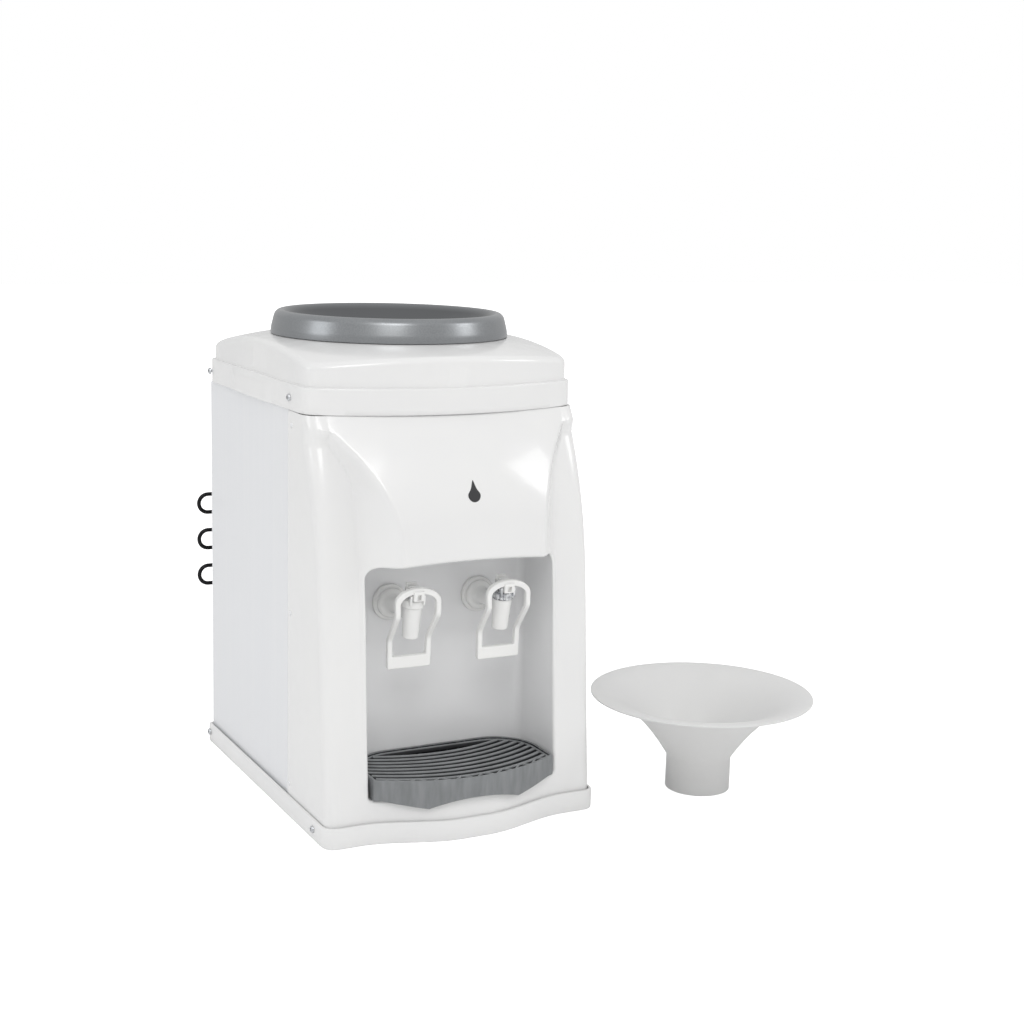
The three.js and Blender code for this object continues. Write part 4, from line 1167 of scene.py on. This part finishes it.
def cut_on_slant(r, z, angle):
    """Lowers the tube's top to a slanting plane."""
    if z == spike_foot:
        return r, z
    slant = 0.9 * (r * math.sin(angle - math.radians(35)) + 20) - 30
    return r, z + min(0, slant)


spike = turned_mesh(spike_profile, 64, 40, looped=True, shaped=cut_on_slant)
spike.transform(Matrix.Translation(funnel_place))
spike_grey = moulded_plastic("warm_grey_spike", (0.5, 0.485, 0.45), (0.43, 0.42, 0.39), 0.35)
place_piece("funnel_spike_tube", spike, spike_grey, "spike_plastic", "bottle_funnel", "funnel_spike")


# Condenser. One steel tube folded into six runs behind the cabinet, stiffened by thin spot-welded
# wires on both faces, held off the rear panel by two strap brackets and dipped in black enamel.
tube_radius = 2.38
condenser_y = 202.5
run_top = 297
run_pitch = 21.9
run_count = 6
run_half = 147
pipe_x = 125
pipe_start = 156.5


def tube_mesh(points, radius, sides=16):
    """Round tube through a list of points."""
    rings = []
    across = Vector((0, 0.4, 1))
    for k, point in enumerate(points):
        along = (points[min(k + 1, len(points) - 1)] - points[max(k - 1, 0)]).normalized()
        across = (across - along * across.dot(along)).normalized()
        other = along.cross(across)
        for i in range(sides):
            angle = 2 * math.pi * i / sides
            rings.append(tuple(point + across * radius * math.cos(angle) + other * radius * math.sin(angle)))
    return skinned(rings, sides, capped=True)


def elbow(z):
    """The tube's turn out of the rear panel into its first or last run."""
    bend = 8
    turn = [(pipe_x, pipe_start)] + arc(pipe_x - bend, condenser_y - bend, bend, 0, 90, 6)
    return [Vector((x, y, z)) for x, y in turn]


black_enamel = patchy_finish(
    "black_enamel", 120, 4, (0.35, (0.004, 0.004, 0.005)), (0.65, (0.009, 0.009, 0.01)), (0.22, 0.42),
    0.25, 0.0004, 0)
set_shader(black_enamel, Specular_IOR_Level=0.22)

serpentine = elbow(run_top)
bend_radius = run_pitch / 2
for run in range(run_count - 1):
    side = -1 if run % 2 == 0 else 1
    z = run_top - run * run_pitch
    for x, turn_z in arc(run_half, z - bend_radius, bend_radius, 90, -90, 16):
        serpentine.append(Vector((side * x, condenser_y, turn_z)))
run_low = run_top - run_pitch * (run_count - 1)
serpentine.extend(reversed(elbow(run_low)))
condenser_parts = [tube_mesh(serpentine, tube_radius)]
wire_radius = 0.7
for face in (-1, 1):
    for k in range(41):
        x = mix(-run_half + 12, run_half - 34, k / 40)
        y = condenser_y + face * (tube_radius + wire_radius - 0.3)
        wire = [Vector((x, y, run_low - 6.5)), Vector((x, y, run_top + 6.5))]
        condenser_parts.append(tube_mesh(wire, wire_radius, 8))
strap_half = 6
arm_low = run_low - 13.3
for x in (-96, 84):
    # The strap against the panel, its two arms, and the two hooks that hold the outer runs.
    strips = [(168.9, 170.5, run_low - 13.5, run_top + 13.5), (169, condenser_y, arm_low, arm_low + 1.6),
              (169, condenser_y, run_top + 11.7, run_top + 13.3),
              (condenser_y - 0.6, condenser_y + 0.8, arm_low, arm_low + 14),
              (condenser_y - 0.6, condenser_y + 0.8, run_top - 1, run_top + 13)]
    condenser_parts.extend(slab(x - strap_half, x + strap_half, *strip, 0.3, 2) for strip in strips)
place_piece(
    "condenser_coil", joined(condenser_parts), black_enamel, "black_enamel", "housing", "condenser")


# Cooling unit inside. A black-enamelled compressor can, soft copper pipes and the filter drier,
# and a copper coil wound round the tank. They keep their own solids and get their finishes here.
copper = patchy_finish(
    "soft_copper", 60, 5, (0.3, (0.42, 0.2, 0.11)), (0.7, (0.66, 0.34, 0.2)), (0.24, 0.42), 0.1, 0.0003)
carry_over(copper, "evaporator_coil", "suction_pipe", "discharge_pipe", "filter_drier")
carry_over(black_enamel, "compressor")


# Water path inside. A polypropylene tank with its baffle, a foam jacket round the coil, and clear
# silicone hoses and seals; all food-grade parts, natural in colour.
tank_white = moulded_plastic(
    "natural_polypropylene", (0.8, 0.81, 0.81), (0.75, 0.76, 0.76), 0.38, 0.05, 0.3)
set_shader(tank_white, Subsurface_Weight=0.2, Subsurface_Radius=(0.004, 0.004, 0.004))
carry_over(tank_white, "water_tank", "tank_baffle")
foam_white, foam_shader, foam_place = start_material("foam_beads", 0.9)
beads = fed_node("ShaderNodeTexVoronoi", foam_place, "Vector")
beads.inputs["Scale"].default_value = 260
gaps = beads.outputs["Distance"]
paint(foam_shader, gaps, (0.1, (0.88, 0.88, 0.86)), (0.7, (0.76, 0.76, 0.74)))
roughen(foam_shader, gaps, 0.85, 0.95)
relief(foam_shader, gaps, 0.4, 0.001)
carry_over(foam_white, "tank_insulation")
silicone = moulded_plastic("clear_silicone", (0.74, 0.76, 0.76), (0.68, 0.7, 0.7), 0.45, 0.05, 0.1)
set_shader(silicone, Subsurface_Weight=0.3, Subsurface_Radius=(0.003, 0.003, 0.003))
carry_over(silicone, "left_hose", "right_hose", "left_tap_seal", "right_tap_seal")


# Rear controls and feet. A black thermostat with its knob and a black cord gland are fixed in the
# rear panel; four dark rubber pads are pressed into the base, level with its underside.
black_moulding = moulded_plastic(
    "black_moulding", (0.022, 0.022, 0.024), (0.014, 0.014, 0.015), 0.4, 0.15, 0.2)
carry_over(black_moulding, "thermostat", "cord_gland")
knob_low, knob_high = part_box("thermostat_knob")
knob_profile = rounded_profile([
    (0, 0, 0), (15, 0, 0.5), (15, 2.6, 0.8), (12.4, 4, 1), (11.2, 13.6, 0.5), (10.2, 14.8, 0.8),
    (0, 15, 0)], 4)


def fluted(r, z, angle):
    """Cuts grip flutes into the knob's upright wall."""
    groove = 0.35 * (0.5 + 0.5 * math.cos(24 * angle)) if 10.6 < r < 12.5 else 0
    return r - groove, z


knob = turned_mesh(knob_profile, 120, 35, shaped=fluted)
pointer = slab(-0.8, 0.8, 2, 10.5, 14.4, 15.6, 0.3, 2)
knob = joined([knob, pointer], 35)
knob.transform(
    Matrix.Translation(((knob_low.x + knob_high.x) / 2, knob_low.y, (knob_low.z + knob_high.z) / 2))
    @ Matrix.Rotation(-math.pi / 2, 4, "X"))
place_piece(
    "thermostat_knob_cap", knob, black_moulding, "black_plastic", "thermostat_knob", "thermostat_knob")

rubber = patchy_finish(
    "dark_rubber", 300, 5, (0.3, (0.02, 0.02, 0.021)), (0.7, (0.045, 0.045, 0.045)), (0.75, 0.85),
    0.3, 0.0004, 0)
foot_profile = rounded_profile([
    (0, 0, 0), (10.5, 0, 0.8), (10.5, 3.3, 0.2), (13, 3.3, 0.2), (13, 5, 0.5), (0, 5, 0)], 4)
for end in ("front", "rear"):
    for side_name, _ in both_sides:
        name = f"foot_{end}_{side_name}"
        low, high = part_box(name)
        foot = turned_mesh(foot_profile, 40)
        foot.transform(Matrix.Translation(((low.x + high.x) / 2, (low.y + high.y) / 2, 0)))
        place_piece(f"{name}_pad", foot, rubber, "dark_rubber", "housing", name)
